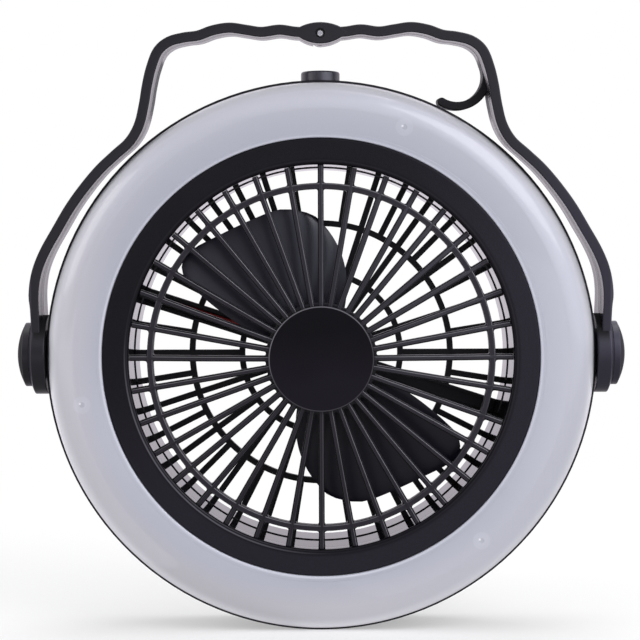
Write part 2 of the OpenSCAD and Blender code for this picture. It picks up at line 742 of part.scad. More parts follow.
module button_cap() color(black) {
    translate([0, lip_y + button_d, axis_h]) rotate_extrude($fn = round_fn)
        polygon(concat([[0, stem_z], [2, stem_z], [2, flange_z], [flange_r, flange_z],
            [flange_r, flange_z + 1], [button_r, flange_z + 1]],
            arc(button_r - 0.9, button_top_z - 0.9, 0.9, 0.9, 0, 90, 5), [[0, button_top_z]]));
}

module charge_socket() color([0.70, 0.71, 0.73])
    difference() {
        plan(board_d + board_t, back_d - 1)
            translate([socket_x, socket_z]) square([socket_w, socket_h], center = true);
        plan(back_d - 7, back_d)
            translate([socket_x, socket_z]) square([socket_w - 1, socket_h - 1], center = true);
    }

// ---- Handle: one bent strip; its rear half is cut away where the hook nests ----

// Heights along the handle are given from the fan's axis and used from the pivot axis
ref = rim_r / 117.1;
function from_pivot(p) = ref * p - [0, pivot_up];

hook_pin = from_pivot([0, 136.5]);
hook_split_w = -0.1;
leg_end_v = from_pivot([0, 110.2])[1];
pillar_hook_r = 2.6;
hook_boss_r = 4.4;
hook_nut_t = 1.2;
hook_nut_r = 3.4;
hook_nut_w = strip_w / 2 - hook_nut_t;
hook_head_r = 1.5;
hook_screw_r = 0.95;
counterbore_r = 2;
counterbore_t = 2;
hook_swing = 110;
boss_top_r = 19.5 * ref;
boss_low_r = 16.1 * ref;
mid_half = [[121.1, 0], [121.3, 14], [121.6, 27], [120.2, 36.5], [116.7, 45.3],
    [111, 55.2], [105.7, 64], [99.7, 72.2], [93, 80], [86.3, 86.2], [80.2, 91.7],
    [76.2, 98.5], [74, 107], [72.6, 115], [70.8, 122.3], [67.9, 129.3], [63.2, 133.2],
    [57, 134.9], [51, 135.7], [45, 137.8], [38, 138.9], [31, 138], [24.5, 137.1],
    [17, 138], [10, 137.1], [0, 136.7]];
mid_line = smooth([for (p = mid_half) from_pivot(p)], 3);

function dir(c, i) = let (v = c[min(i + 1, len(c) - 1)] - c[max(i - 1, 0)]) v / norm(v);
function beside(c, i, off) = let (v = dir(c, i)) c[i] + off * [v[1], -v[0]];
function arm_off(v) = strip_t / 2 - 0.5 * max(0, min(1, (26 - v) / 4));

outer_half = [for (i = [0 : len(mid_line) - 1]) beside(mid_line, i, arm_off(mid_line[i][1]))];
inner_half = [for (i = [0 : len(mid_line) - 1]) beside(mid_line, i, -strip_t / 2)];
function flip(p) = [for (q = p) [-q[0], q[1]]];

// Highest line of the nested arm over the hook's pin, beside the boss
arm_rise = max([for (p = outer_half) p[0] < 14 * ref ? p[1] : 0]) - hook_pin[1];
module at_pin() translate(hook_pin) children();

module handle_layer(w0, w1)
    at_pivot() rotate([handle_lean, 0, 0]) translate([0, w1, 0]) rotate([90, 0, 0])
        linear_extrude(w1 - w0) children();

module almond()
    intersection() {
        translate(from_pivot([0, 121.6])) circle(boss_top_r, $fn = round_fn);
        translate(from_pivot([0, 148.3])) circle(boss_low_r, $fn = round_fn);
    }

module handle_plan() {
    polygon(concat(outer_half, rev(flip(outer_half)), flip(inner_half), rev(inner_half)));
    almond();
}

cap_bevel = 1.4;
cap_side = 2.8;
cap_rise = 3.6;
cap_hollow_r = 5.2;
cap_spigot = 1.1;
bore_r = cap_r - 4.5;
arm_face_x = arm_x1 + gap + washer_t + fit;
arm_seat_x = arm_face_x + cap_bevel;

module arm_end()
    rotate([0, 90, 0]) rotate_extrude($fn = round_fn)
        polygon([[trunnion_r + run, arm_x0], [arm_end_r - 0.4, arm_x0], [arm_end_r, arm_x0 + 0.4],
            [arm_end_r, arm_face_x], [cap_r + 2 * fit, arm_seat_x], [bore_r, arm_seat_x],
            [bore_r, arm_x1], [trunnion_r + run, arm_x1]]);

module handle() color([0.07, 0.07, 0.075]) {
    half_w = strip_w / 2;
    difference() {
        union() {
            handle_layer(-half_w, hook_split_w) handle_plan();
            handle_layer(hook_split_w - eps, half_w) difference() {
                handle_plan();
                at_pin() {
                    circle(hook_boss_r + gap, $fn = round_fn);
                    // Room for the arm at the end of its swing
                    rotate(hook_swing) translate([0, -2 * strip_t])
                        square([5 * strip_t, 2 * strip_t + arm_rise + gap]);
                }
                translate([0, leg_end_v - gap]) square([90 * ref, 40 * ref]);
            }
            handle_layer(hook_split_w - 1, hook_nut_w)
                at_pin() circle(pillar_hook_r, $fn = small_fn);
            at_pivot() both_sides() arm_end();
        }
        at_pivot() both_sides() {
            x_rod(trunnion_r + run, arm_x0 - 3, arm_x1 + 0.1);
            x_rod(bore_r, arm_x1, arm_x1 + 12);
        }
        handle_layer(-half_w - 1, hook_nut_w + 1)
            at_pin() circle(hook_screw_r + run, $fn = small_fn);
        handle_layer(-half_w - 1, counterbore_t - half_w)
            at_pin() circle(counterbore_r, $fn = small_fn);
    }
}

module hook_screw() color([0.80, 0.80, 0.82]) {
    handle_layer(0.5 - strip_w / 2, counterbore_t - strip_w / 2)
        at_pin() circle(hook_head_r, $fn = small_fn);
    handle_layer(counterbore_t - strip_w / 2 - fit, hook_nut_w + 0.8)
        at_pin() circle(hook_screw_r, $fn = small_fn);
}

module hook_retainer() color(steel)
    handle_layer(hook_nut_w, strip_w / 2) difference() {
        at_pin() circle(hook_nut_r, $fn = small_fn);
        at_pin() circle(hook_screw_r + run, $fn = small_fn);
    }

// ---- Hook: the nested leg and the curl that hangs the fan ----

curl_mid_r = curl_r + curl_t / 2;
curl_sweep = 121.6;
curl_c = from_pivot([70.9, 119]) - [curl_mid_r, 0];
leg_line = [for (p = mid_line) if (p[1] >= leg_end_v) p];
leg_from = len(mid_line) - len(leg_line);

module hook_plan() {
    polygon(concat(
        [for (i = [leg_from : len(mid_line) - 1]) beside(mid_line, i, strip_t / 2)],
        rev([for (i = [leg_from : len(mid_line) - 1]) beside(mid_line, i, -strip_t / 2)])));
    difference() {
        translate(curl_c) circle(curl_mid_r + curl_t / 2, $fn = round_fn);
        translate(curl_c) circle(curl_r, $fn = round_fn);
        translate(curl_c) polygon([[0, 0], [60, 0], [60, 60], [-60, 60], [-60, -60],
            [60 * cos(-curl_sweep), 60 * sin(-curl_sweep)]]);
    }
    translate(curl_c + curl_mid_r * [cos(-curl_sweep), sin(-curl_sweep)])
        circle(curl_t / 2, $fn = small_fn);
}

module hook() color([0.07, 0.07, 0.075]) {
    difference() {
        handle_layer(hook_split_w + gap, strip_w / 2) {
            hook_plan();
            at_pin() circle(hook_boss_r, $fn = round_fn);
            // Lower right part of the boss, under the arm
            intersection() {
                almond();
                at_pin() translate([0, -2 * strip_t]) square([5 * strip_t, 2 * strip_t]);
            }
        }
        handle_layer(-1, strip_w) at_pin() circle(pillar_hook_r + run, $fn = small_fn);
        handle_layer(hook_nut_w - gap, strip_w) at_pin() circle(hook_nut_r + gap, $fn = round_fn);
    }
}

// ---- Pivots: washers and screws stay with the housing, caps turn with the handle ----

module friction_washers() color([0.80, 0.78, 0.72])
    at_pivot() both_sides() difference() {
        x_rod(washer_r, trunnion_x, trunnion_x + washer_t);
        x_rod(pivot_screw_r + fit, trunnion_x - 1, trunnion_x + 2, small_fn);
    }

module pivot_screws() color(steel)
    at_pivot() both_sides() {
        x_rod(pivot_head_r, trunnion_x + washer_t, trunnion_x + washer_t + pivot_head_t);
        x_rod(pivot_screw_r, trunnion_x + washer_t - pivot_screw_len, trunnion_x + washer_t + 0.1,
            small_fn);
    }

module pivot_cap() color(black)
    rotate([0, 90, 0]) rotate_extrude($fn = round_fn)
        polygon(concat([[0, arm_seat_x + cap_bevel], [cap_hollow_r, arm_seat_x + cap_bevel],
            [cap_hollow_r, arm_seat_x], [bore_r - cap_spigot, arm_seat_x],
            [bore_r - cap_spigot, arm_seat_x - cap_spigot], [bore_r - fit / 2, arm_seat_x - cap_spigot],
            [bore_r - fit / 2, arm_seat_x], [cap_r, arm_seat_x]],
            arc(0, arm_seat_x + cap_side, cap_r, cap_rise, 0, 90, 9)));

module left_pivot_cap() at_pivot() mirror([1, 0, 0]) pivot_cap();
module right_pivot_cap() at_pivot() pivot_cap();

rear_housing();
rear_grille();
front_bezel();
front_grille();
hub_cap();
diffuser();
light_tray();
led_board();
leds();
rotor();
rotor_clip();
motor_shaft();
motor_bush();
motor_can();
motor_end_cap();
motor_retainer();
motor_screws();
lead_red();
lead_black();
battery_cells();
battery_cradles();
control_board();
board_screws();
button_switch();
switch_plunger();
button_cap();
charge_socket();
housing_screws();
diffuser_screws();
grille_screws();
rubber_feet();
pivot_screws();
friction_washers();
handle();
left_pivot_cap();
right_pivot_cap();
hook();
hook_retainer();
hook_screw();
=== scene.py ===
import json
from math import asin, cos, degrees, pi, radians, sin, sqrt, tan
import bmesh
import bpy
from mathutils import Euler, Matrix, Vector


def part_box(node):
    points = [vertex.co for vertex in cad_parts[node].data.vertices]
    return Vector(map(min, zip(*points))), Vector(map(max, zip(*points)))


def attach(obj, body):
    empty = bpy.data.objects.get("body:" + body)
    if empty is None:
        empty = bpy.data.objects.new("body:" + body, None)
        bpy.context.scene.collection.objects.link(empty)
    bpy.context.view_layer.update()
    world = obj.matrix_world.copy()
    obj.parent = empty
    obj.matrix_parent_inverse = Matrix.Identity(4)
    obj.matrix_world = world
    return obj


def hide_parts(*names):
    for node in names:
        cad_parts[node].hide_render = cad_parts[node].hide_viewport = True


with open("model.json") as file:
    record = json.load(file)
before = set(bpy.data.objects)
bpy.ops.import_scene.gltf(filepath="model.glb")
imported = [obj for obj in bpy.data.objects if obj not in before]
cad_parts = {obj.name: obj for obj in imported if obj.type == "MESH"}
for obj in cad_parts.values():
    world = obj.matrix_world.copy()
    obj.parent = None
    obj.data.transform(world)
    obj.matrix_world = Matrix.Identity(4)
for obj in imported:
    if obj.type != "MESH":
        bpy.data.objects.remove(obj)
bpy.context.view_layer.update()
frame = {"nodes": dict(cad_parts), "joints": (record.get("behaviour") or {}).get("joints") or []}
print("frame loaded:", len(frame["nodes"]), "nodes")

# sizes that pieces share, in millimetres
body = {"duct": 80.9, "wall": 2.2, "bezel": 91.9, "lens": 115.9, "seam": 24.5, "hub": 22.0, "hubFront": -11.5}
grille = {"ribs": 36, "ribWide": 2.5, "ribDeep": 4.5, "crestWide": 1.4, "crestHigh": 0.7, "rise": 8.5,
          "flatFrom": 76.0, "plate": 20.8, "plateFront": -9.0, "collar": 23.2, "collarFront": -7.1,
          "tie": 72.0, "tieWide": 2.6}
lensPosts = {"angles": (70, 191, 311), "ring": 102.5, "r": 3.7}
strip = {"thick": 4.25, "half": 13.25, "split": -0.1, "edge": 0.55, "legEnd": 110.2, "pinHeight": 136.5,
         "bossTop": (121.6, 19.5), "bossLow": (148.3, 16.1)}

# pieces are drawn around three places of the frame: the fan's axis, the lip of the bezel and the pivot
mm = 0.001
joints = {joint["name"]: joint for joint in frame["joints"]}
pivotY, pivotH = joints["handle_tilt"]["pos_m"][1:]
axisH = joints["fan_spin"]["pos_m"][2]
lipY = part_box("hub_cap")[0].y - body["hubFront"] * mm
hookTurn = joints["hook_swing"]["axis"]
leanCos, leanSin = -hookTurn[1], -hookTurn[2]


def at(x, d, z):  # x right, d back from the lip, z up from the fan's axis
    return Vector((x * mm, lipY + d * mm, axisH + z * mm))


def onHandle(u, v, w):  # u right, v up the handle from the fan's axis, w back through its depth
    up, back = v * mm - (pivotH - axisH), w * mm
    return Vector((u * mm, pivotY + back * leanCos - up * leanSin, pivotH + back * leanSin + up * leanCos))


def circle(count):
    return [2 * pi * i / count for i in range(count)]


def aroundFan(r, d, turn):
    return at(r * cos(turn), d, r * sin(turn))


def aroundPost(ring, angle):  # about a post on a ring round the fan's axis, at an angle in degrees
    x, z = (ring * f(radians(angle)) for f in (cos, sin))
    return lambda r, d, turn: at(x + r * cos(turn), d, z + r * sin(turn))


def aroundPivot(side):
    return lambda r, u, turn: Vector((side * u * mm, pivotY + r * mm * cos(turn),
                                      pivotH + r * mm * sin(turn)))


def aroundPin(r, w, turn):  # about the hook's pin
    return onHandle(r * cos(turn), strip["pinHeight"] + r * sin(turn), w)


def rounded(corners, steps=5):
    # closed outline of (a, b, radius) corners, with every corner turned on its radius
    tiny, halfEdge = 1e-6, 0.499
    outline = []
    for i, (a, b, radius) in enumerate(corners):
        here = Vector((a, b))
        back = Vector(corners[i - 1][:2]) - here
        ahead = Vector(corners[(i + 1) % len(corners)][:2]) - here
        if radius <= 0 or back.length < tiny or ahead.length < tiny:
            outline.append((a, b))
            continue
        angle = back.angle(ahead)
        reach = min(radius / tan(angle / 2), back.length * halfEdge, ahead.length * halfEdge)
        radius = reach * tan(angle / 2)
        centre = here + (back.normalized() + ahead.normalized()).normalized() * radius / sin(angle / 2)
        first = here + back.normalized() * reach - centre
        last = here + ahead.normalized() * reach - centre
        sweep = first.angle_signed(last)
        for k in range(steps + 1):
            turn = -sweep * k / steps
            outline.append((centre.x + first.x * cos(turn) - first.y * sin(turn),
                            centre.y + first.x * sin(turn) + first.y * cos(turn)))
    return outline


def oval(centre, radii, start, end, steps):
    turns = [radians(start + (end - start) * k / steps) for k in range(steps + 1)]
    return [(centre[0] + radii[0] * cos(turn), centre[1] + radii[1] * sin(turn)) for turn in turns]


def smoothLine(points, steps):  # a curve through all the points
    line = []
    points = [Vector(p) for p in points]
    ends = [2 * points[0] - points[1]] + points + [2 * points[-1] - points[-2]]
    for i in range(1, len(ends) - 2):
        a, b, c, d = ends[i - 1:i + 3]
        for k in range(steps):
            t = k / steps
            line.append(0.5 * (2 * b + (c - a) * t + (2 * a - 5 * b + 4 * c - d) * t * t
                               + (3 * b - a - 3 * c + d) * t ** 3))
    return line + [points[-1]]


class Shell:
    def __init__(self):
        self.points, self.faces = [], []

    def rows(self, rows, loop=True, wrap=False, ends=""):
        # quads between rows of points; loop closes each row and wrap joins last to first
        start, wide = len(self.points), len(rows[0])
        for row in rows:
            self.points.extend(row)
        for i in range(len(rows) if wrap else len(rows) - 1):
            low = start + i * wide
            high = start + (i + 1) % len(rows) * wide
            for j in range(wide if loop else wide - 1):
                k = (j + 1) % wide
                self.faces.append((low + j, low + k, high + k, high + j))
        for low in (start, start + (len(rows) - 1) * wide) if ends else ():
            if ends == "flat":
                self.faces.append(tuple(range(low, low + wide)))
            else:  # zip: the two halves of the row are joined point to point
                for j in range(wide // 2 - 1):
                    self.faces.append((low + j, low + j + 1, low + wide - 2 - j, low + wide - 1 - j))
        return self

    def lathe(self, outline, place, count=96, closed=True):
        return self.rows([[place(a, b, turn) for a, b in outline] for turn in circle(count)],
                         loop=closed, wrap=True)

    def piece(self, name, rides, slot, replaces):
        # a new object, with the material of the node that it replaces
        weld, sliver, crease = 2e-6, 1e-7, radians(34)
        mesh = bpy.data.meshes.new(name)
        mesh.from_pydata(self.points, [], self.faces)
        work = bmesh.new()
        work.from_mesh(mesh)
        bmesh.ops.remove_doubles(work, verts=work.verts, dist=weld)
        bmesh.ops.dissolve_degenerate(work, edges=work.edges, dist=sliver)
        bmesh.ops.recalc_face_normals(work, faces=work.faces)
        for face in work.faces:
            face.smooth = True
        for edge in work.edges:
            edge.smooth = len(edge.link_faces) == 2 and edge.calc_face_angle() < crease
        work.to_mesh(mesh)
        work.free()
        made = newObject(name, mesh)
        made.data.materials.append(frame["nodes"][replaces[0]].material_slots[0].material)
        even = made.modifiers.new("even shading", "WEIGHTED_NORMAL")
        even.keep_sharp = True
        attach(made, rides)
        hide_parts(*replaces)


def sums(operation):  # a method that does one operation on a wire
    return lambda self, *others: self.sum(operation, self, *others)


def turnedSums(operation):  # the same for a wire on the right of the operator
    return lambda self, other: self.sum(operation, other, self)


class Wire:
    # a shader output that Python can do sums with
    __add__, __radd__ = sums("ADD"), turnedSums("ADD")
    __sub__, __rsub__ = sums("SUBTRACT"), turnedSums("SUBTRACT")
    __mul__, __rmul__ = sums("MULTIPLY"), turnedSums("MULTIPLY")
    __truediv__, __rtruediv__ = sums("DIVIDE"), turnedSums("DIVIDE")
    __pow__ = sums("POWER")
    least, most, size, sign = sums("MINIMUM"), sums("MAXIMUM"), sums("ABSOLUTE"), sums("SIGN")
    part = sums("FRACT")  # what is left over a whole number
    turn = sums("ARCTAN2")  # angle of the point (other, self)

    def __init__(self, board, socket):
        self.board, self.socket = board, socket

    def sum(self, operation, *terms):
        return self.board.node("Math", {"operation": operation}, dict(enumerate(terms)))

    def ease(self, low, high):  # 0 below low, 1 above high, smooth between
        return self.board.node("MapRange", {"interpolation_type": "SMOOTHSTEP"},
                               {"Value": self, "From Min": low, "From Max": high})

    def within(self, rise, fall):  # 1 between two slopes, 0 outside them
        return self.ease(*rise) * (1 - self.ease(*fall))

    def near(self, place, full, none):  # 1 up to full from a place, 0 beyond none
        return 1 - (self - place).size().ease(full, none)


class Board:
    # the node tree of one material, or of the world
    def __init__(self, owner):
        owner.use_nodes = True
        self.owner, self.tree = owner, owner.node_tree
        self.tree.nodes.clear()

    def node(self, kind, settings=None, sockets=None, out=0):
        made = self.tree.nodes.new("ShaderNode" + kind)
        for name, value in (settings or {}).items():
            setattr(made, name, value)
        for name, value in (sockets or {}).items():
            if isinstance(value, Wire):
                self.tree.links.new(value.socket, made.inputs[name])
            elif made.inputs[name].type == "RGBA":
                made.inputs[name].default_value = (*value, 1)
            else:
                made.inputs[name].default_value = value
        return Wire(self, made.outputs[out]) if made.outputs else None

    def place(self):
        return self.node("TexCoord", out="Object")

    def ray(self, kind):
        return self.node("LightPath", out="Is " + kind + " Ray")

    def noise(self, size, detail=2.0, rough=0.5, where=None):  # size of one blot in millimetres
        return self.node("TexNoise", {}, {"Vector": where or self.place(), "Scale": 1000 / size,
                                          "Detail": detail, "Roughness": rough})

    def blend(self, mask, low, high):  # colours, by a mask
        return self.node("Mix", {"data_type": "RGBA"}, {0: mask, 6: low, 7: high}, out=2)

    def mottled(self, color, spread, blot, grain):
        # slow clouds, fine grain, and the colour that they vary
        clouds, fine = self.noise(blot, 3.0), self.noise(grain, 2.0, 0.6)
        share = clouds * 0.7 + fine * 0.3
        return clouds, fine, self.blend(share, scaled(color, 1 - spread), scaled(color, 1 + spread))

    def axes(self, where=None):
        split = self.node("SeparateXYZ", {}, {0: where or self.place()})
        outputs = split.socket.node.outputs
        return [Wire(self, outputs[i]) for i in range(3)]

    def aroundFan(self):
        # place from the fan's axis, the distance to it in millimetres,
        # and how far a point lies towards a direction given as right and up
        x, y, z = self.axes()
        z = z - axisH
        radius = (x * x + z * z) ** 0.5 / mm
        return x, y, z, radius, lambda right, up: (x * right + z * up) / (radius * mm)

    def bump(self, height, depth, **normal):  # depth in millimetres
        sockets = {"Strength": 1.0, "Distance": depth * mm, "Height": height, **normal}
        return self.node("Bump", {}, sockets)

    def surface(self, **sockets):
        names = {"color": "Base Color", "coat": "Coat Weight", "coatRoughness": "Coat Roughness",
                 "specular": "Specular IOR Level", "scatter": "Subsurface Weight",
                 "scatterRadius": "Subsurface Radius", "scatterScale": "Subsurface Scale"}
        sockets = {names.get(name, name.capitalize()): value for name, value in sockets.items()}
        self.node("OutputMaterial", {}, {"Surface": self.node("BsdfPrincipled", {}, sockets)})
        return self.owner


def skin(name):
    return Board(bpy.data.materials.new(name))


def newObject(name, data):
    made = bpy.data.objects.new(name, data)
    bpy.context.scene.collection.objects.link(made)
    return made


def scaled(color, factor):
    return tuple(min(1.0, c * factor) for c in color)


def plastic(name, color, roughness, grain=0.35, grainDepth=0.006, cloud=0.12, specular=0.25, edge=0.0,
            bore=0.0, lit=None):
    # moulded plastic: fine spark-eroded grain, slow clouds of tone and gloss; the duct's wall is polished,
    # and where a lit colour is given, the face is painted paler towards its lower right foot (painted light)
    # and the lip keeps a painted highlight line along the wall
    look = {"wall": (-0.2, 0.3, 0.6), "lip": (2.2, 3.0), "lipGloss": 0.3, "line": (1.7, 0.1, 0.5),
            "lineDeep": (0.3, 0.6), "lineFrom": (-0.75, -0.66), "lineTurn": (0.6, 1.0),
            "foot": (0.6, -0.8), "footTurn": (-0.7, 0.3), "footFrom": (1.5, 3.5), "footTone": 3.1}
    board = skin(name)
    clouds, fine, tone = board.mottled(color, cloud, 28, grain)
    gloss = roughness + (clouds - 0.5) * 0.1 + (fine - 0.5) * 0.06
    if bore:
        x, y, z, radius, toward = board.aroundFan()
        beyond = radius - body["duct"]
        lip, wall = 1 - beyond.ease(*look["lip"]), beyond.near(*look["wall"])
        gloss = gloss + (look["lipGloss"] - gloss) * lip
        gloss = gloss + (bore - gloss) * wall
        fine = fine * (1 - lip * 0.7) * (1 - wall)
        if lit:
            # painted light: the face is paler towards the lower right
            foot = toward(*look["foot"]).ease(*look["footTurn"]) * beyond.ease(*look["footFrom"])
            tone = board.blend(foot, tone, scaled(color, look["footTone"]))
            # painted highlight: a line of light on the lip, brightest at the lower left
            line = beyond.near(*look["line"]) * (1 - ((y - lipY) / mm).ease(*look["lineDeep"]))
            level = 0.05 + toward(*look["lineFrom"]).ease(*look["lineTurn"]) * 0.55
            tone = board.blend(line * level, tone, lit)
    under = {}
    if edge:  # soft edges on the nodes that keep their drawn corners
        under["Normal"] = board.node("Bevel", {"samples": 4}, {"Radius": edge * mm})
    return board.surface(color=tone, roughness=gloss, specular=specular,
                         normal=board.bump(fine, grainDepth, **under))


def ribbed(name, roughness, bore):
    # the grille: a satin crest over flanks darkened with painted shade, and painted highlights along the
    # crest's edges, brightest on the edges that face the upper right
    look = {"flank": (0.0035, 0.0032, 0.005), "crest": (0.017, 0.0155, 0.0215),
            "edge": (0.21, 0.205, 0.225), "light": (0.55, 0.83), "ribLine": (0.05, 0.06, 0.22),
            "tieLine": (0.35, 0.06, 0.26), "ribLit": (0.25, 1.0), "tieLit": (0.1, 1.0), "level": 0.1,
            "crestDeep": (0.3, 0.5), "tieDeep": (0.9, 1.2), "wall": (-0.3, -0.1), "wallDeep": (1.0, 1.2)}
    board = skin(name)
    x, y, z, radius, toward = board.aroundFan()
    right, up = look["light"]
    pitch = 2 * pi / grille["ribs"]
    across = ((z.turn(x) / pitch + 0.5).part() - 0.5) * radius * pitch
    fromTie = radius - grille["tie"]
    top = (radius / grille["flatFrom"]).least(1.0) ** 2 * grille["rise"] - grille["rise"]
    below = (y - lipY) / mm - top
    near = 1 - below.ease(*look["crestDeep"])
    crestHalf, tieHalf = grille["crestWide"] / 2, grille["tieWide"] / 2
    onRib = 1 - across.size().ease(crestHalf - 0.3, crestHalf - 0.1)
    onTie = 1 - fromTie.size().ease(tieHalf - 0.1, tieHalf + 0.1)
    ribLit = (across.sign() * toward(up, -right)).ease(*look["ribLit"]) * 0.9 + look["level"]
    tieLit = (fromTie.sign() * toward(right, up)).ease(*look["tieLit"]) * 0.5 + look["level"]
    (ribIn, *ribWide), (tieIn, *tieWide) = look["ribLine"], look["tieLine"]
    ribLine = across.size().near(crestHalf - ribIn, *ribWide)
    tieLine = fromTie.size().near(tieHalf - tieIn, *tieWide)
    line = (ribLine * ribLit * (1 - onTie)).most(tieLine * tieLit * (1 - onRib))
    clouds, fine, crest = board.mottled(look["crest"], 0.2, 9, 0.3)
    # painted shade: the flanks and the tie's lower sides are darker than the crest
    color = board.blend(near.most(onTie * (1 - below.ease(*look["tieDeep"]))), look["flank"], crest)
    # painted highlight: lines along the edges of the crests and of the tie, brightest where they face the
    # upper right
    color = board.blend(line * near.most(onTie) * (0.6 + clouds * 0.8), color, look["edge"])
    wall = (radius - body["duct"]).ease(*look["wall"]) * below.ease(*look["wallDeep"])
    gloss = roughness + (clouds - 0.5) * 0.1
    return board.surface(color=color, roughness=gloss + (bore - gloss) * wall, specular=0.25,
                         normal=board.bump(fine * (1 - wall), 0.004))


def handleLook(name, color, roughness):
    # satin skin; the strip's inner side keeps fine draw lines that run along it; its right end and right
    # pivot end are painted paler and bluish (painted light), the tops of the discs behind the caps, the caps'
    # domes and the hook's curl are darkened with painted shade, and the chamfers under the caps and a line at
    # their seams carry painted highlights
    look = {"mark": (0.44, 0.6), "inward": (0.1, 0.5), "band": ((0.13, 0.17), (0.46, 0.62)),
            "rim": (0.02, 0.04), "blue": 1.2, "right": (75, 112), "rightTone": 1.7, "end": (122.0, 122.6),
            "endRise": (-14, 12), "endTone": 3.2, "disc": ((116.2, 116.8), (121.6, 122.2)),
            "discUp": (0.2, 0.6), "dome": (126.9, 127.1), "curl": (72, 74), "curlDeep": (-0.2, 0.1),
            "curlRise": (124, 127), "shadeTone": 0.1, "collar": ((122.3, 122.7), (123.9, 124.1)),
            "seam": (124.1, 0.1, 0.4), "paleTone": 4.0}
    board = skin(name)
    x, y, z = board.axes()
    nx, ny, nz = board.axes(board.node("TexCoord", out="Normal"))
    half, right, out, rise = strip["half"], x / mm, x.size() / mm, z - axisH
    deep = ((y - pivotY) * leanCos + (z - pivotH) * leanSin) / mm
    inside = (deep + half).ease(0.5, 0.7) * (half - deep).ease(0.2, 0.4)
    inward = (0 - (nx * x + nz * rise) / (x * x + rise * rise) ** 0.5).ease(*look["inward"]) * inside
    lines = board.node("TexNoise", {"noise_dimensions": "1D"},
                       {"W": deep, "Scale": 0.9, "Detail": 3.0})
    mark = lines.ease(*look["mark"])
    share = (deep + half) / (2 * half)
    band = share.within(*look["band"]) - share.ease(*look["rim"]) * 0.25
    clouds, fine, tone = board.mottled(color, 0.12, 28, 0.34)

    bluish = (color[0], color[1], color[2] * look["blue"])
    # painted light: the right side of the handle and the right pivot end are paler and bluish
    end = right.ease(*look["end"]) * ((z - pivotH) / mm).ease(*look["endRise"])
    tone = board.blend(right.ease(*look["right"]), tone, scaled(bluish, look["rightTone"]))
    tone = board.blend(end * 0.9, tone, scaled(bluish, look["endTone"]))

    # painted shade: the tops of the discs, the caps' domes and the hook's curl are darker
    disc, dome = out.within(*look["disc"]) * nz.ease(*look["discUp"]), out.ease(*look["dome"])
    curl = (1 - out.ease(*look["curl"])) * deep.ease(*look["curlDeep"])
    curl = curl * (1 - (rise / mm).ease(*look["curlRise"]))
    shade = disc.most(dome * 0.8).most(curl * 0.55)
    tone = board.blend(shade, tone, scaled(color, look["shadeTone"]))

    # painted highlight: the chamfers under the caps and a line at their seams are paler
    pale = out.within(*look["collar"]) * 0.5 + out.near(*look["seam"]) * 0.6
    tone = board.blend(pale, tone, scaled(color, look["paleTone"]))

    gloss = roughness + (clouds - 0.5) * 0.08 + inward * (mark * 0.22 + band * 0.07 - 0.205)
    gloss = gloss + (inside - inward) * (mark - 0.5) * 0.05 + shade * 0.5
    return board.surface(color=tone, roughness=gloss.most(0.06), specular=0.3,
                         normal=board.bump(fine, 0.004))


def metal(name, color, roughness, streak=(0.12, 3.0, 3.0), metallic=1.0):
    board = skin(name)
    along = board.node("Mapping", {}, {"Vector": board.place(), "Scale": streak})
    lines = board.noise(0.25, 3.0, 0.6, along)
    tarnish = board.noise(3.0, 3.0)
    return board.surface(color=board.blend(tarnish, scaled(color, 0.82), scaled(color, 1.08)),
                         metallic=metallic, roughness=roughness + (lines - 0.5) * 0.25,
                         normal=board.bump(lines, 0.004))


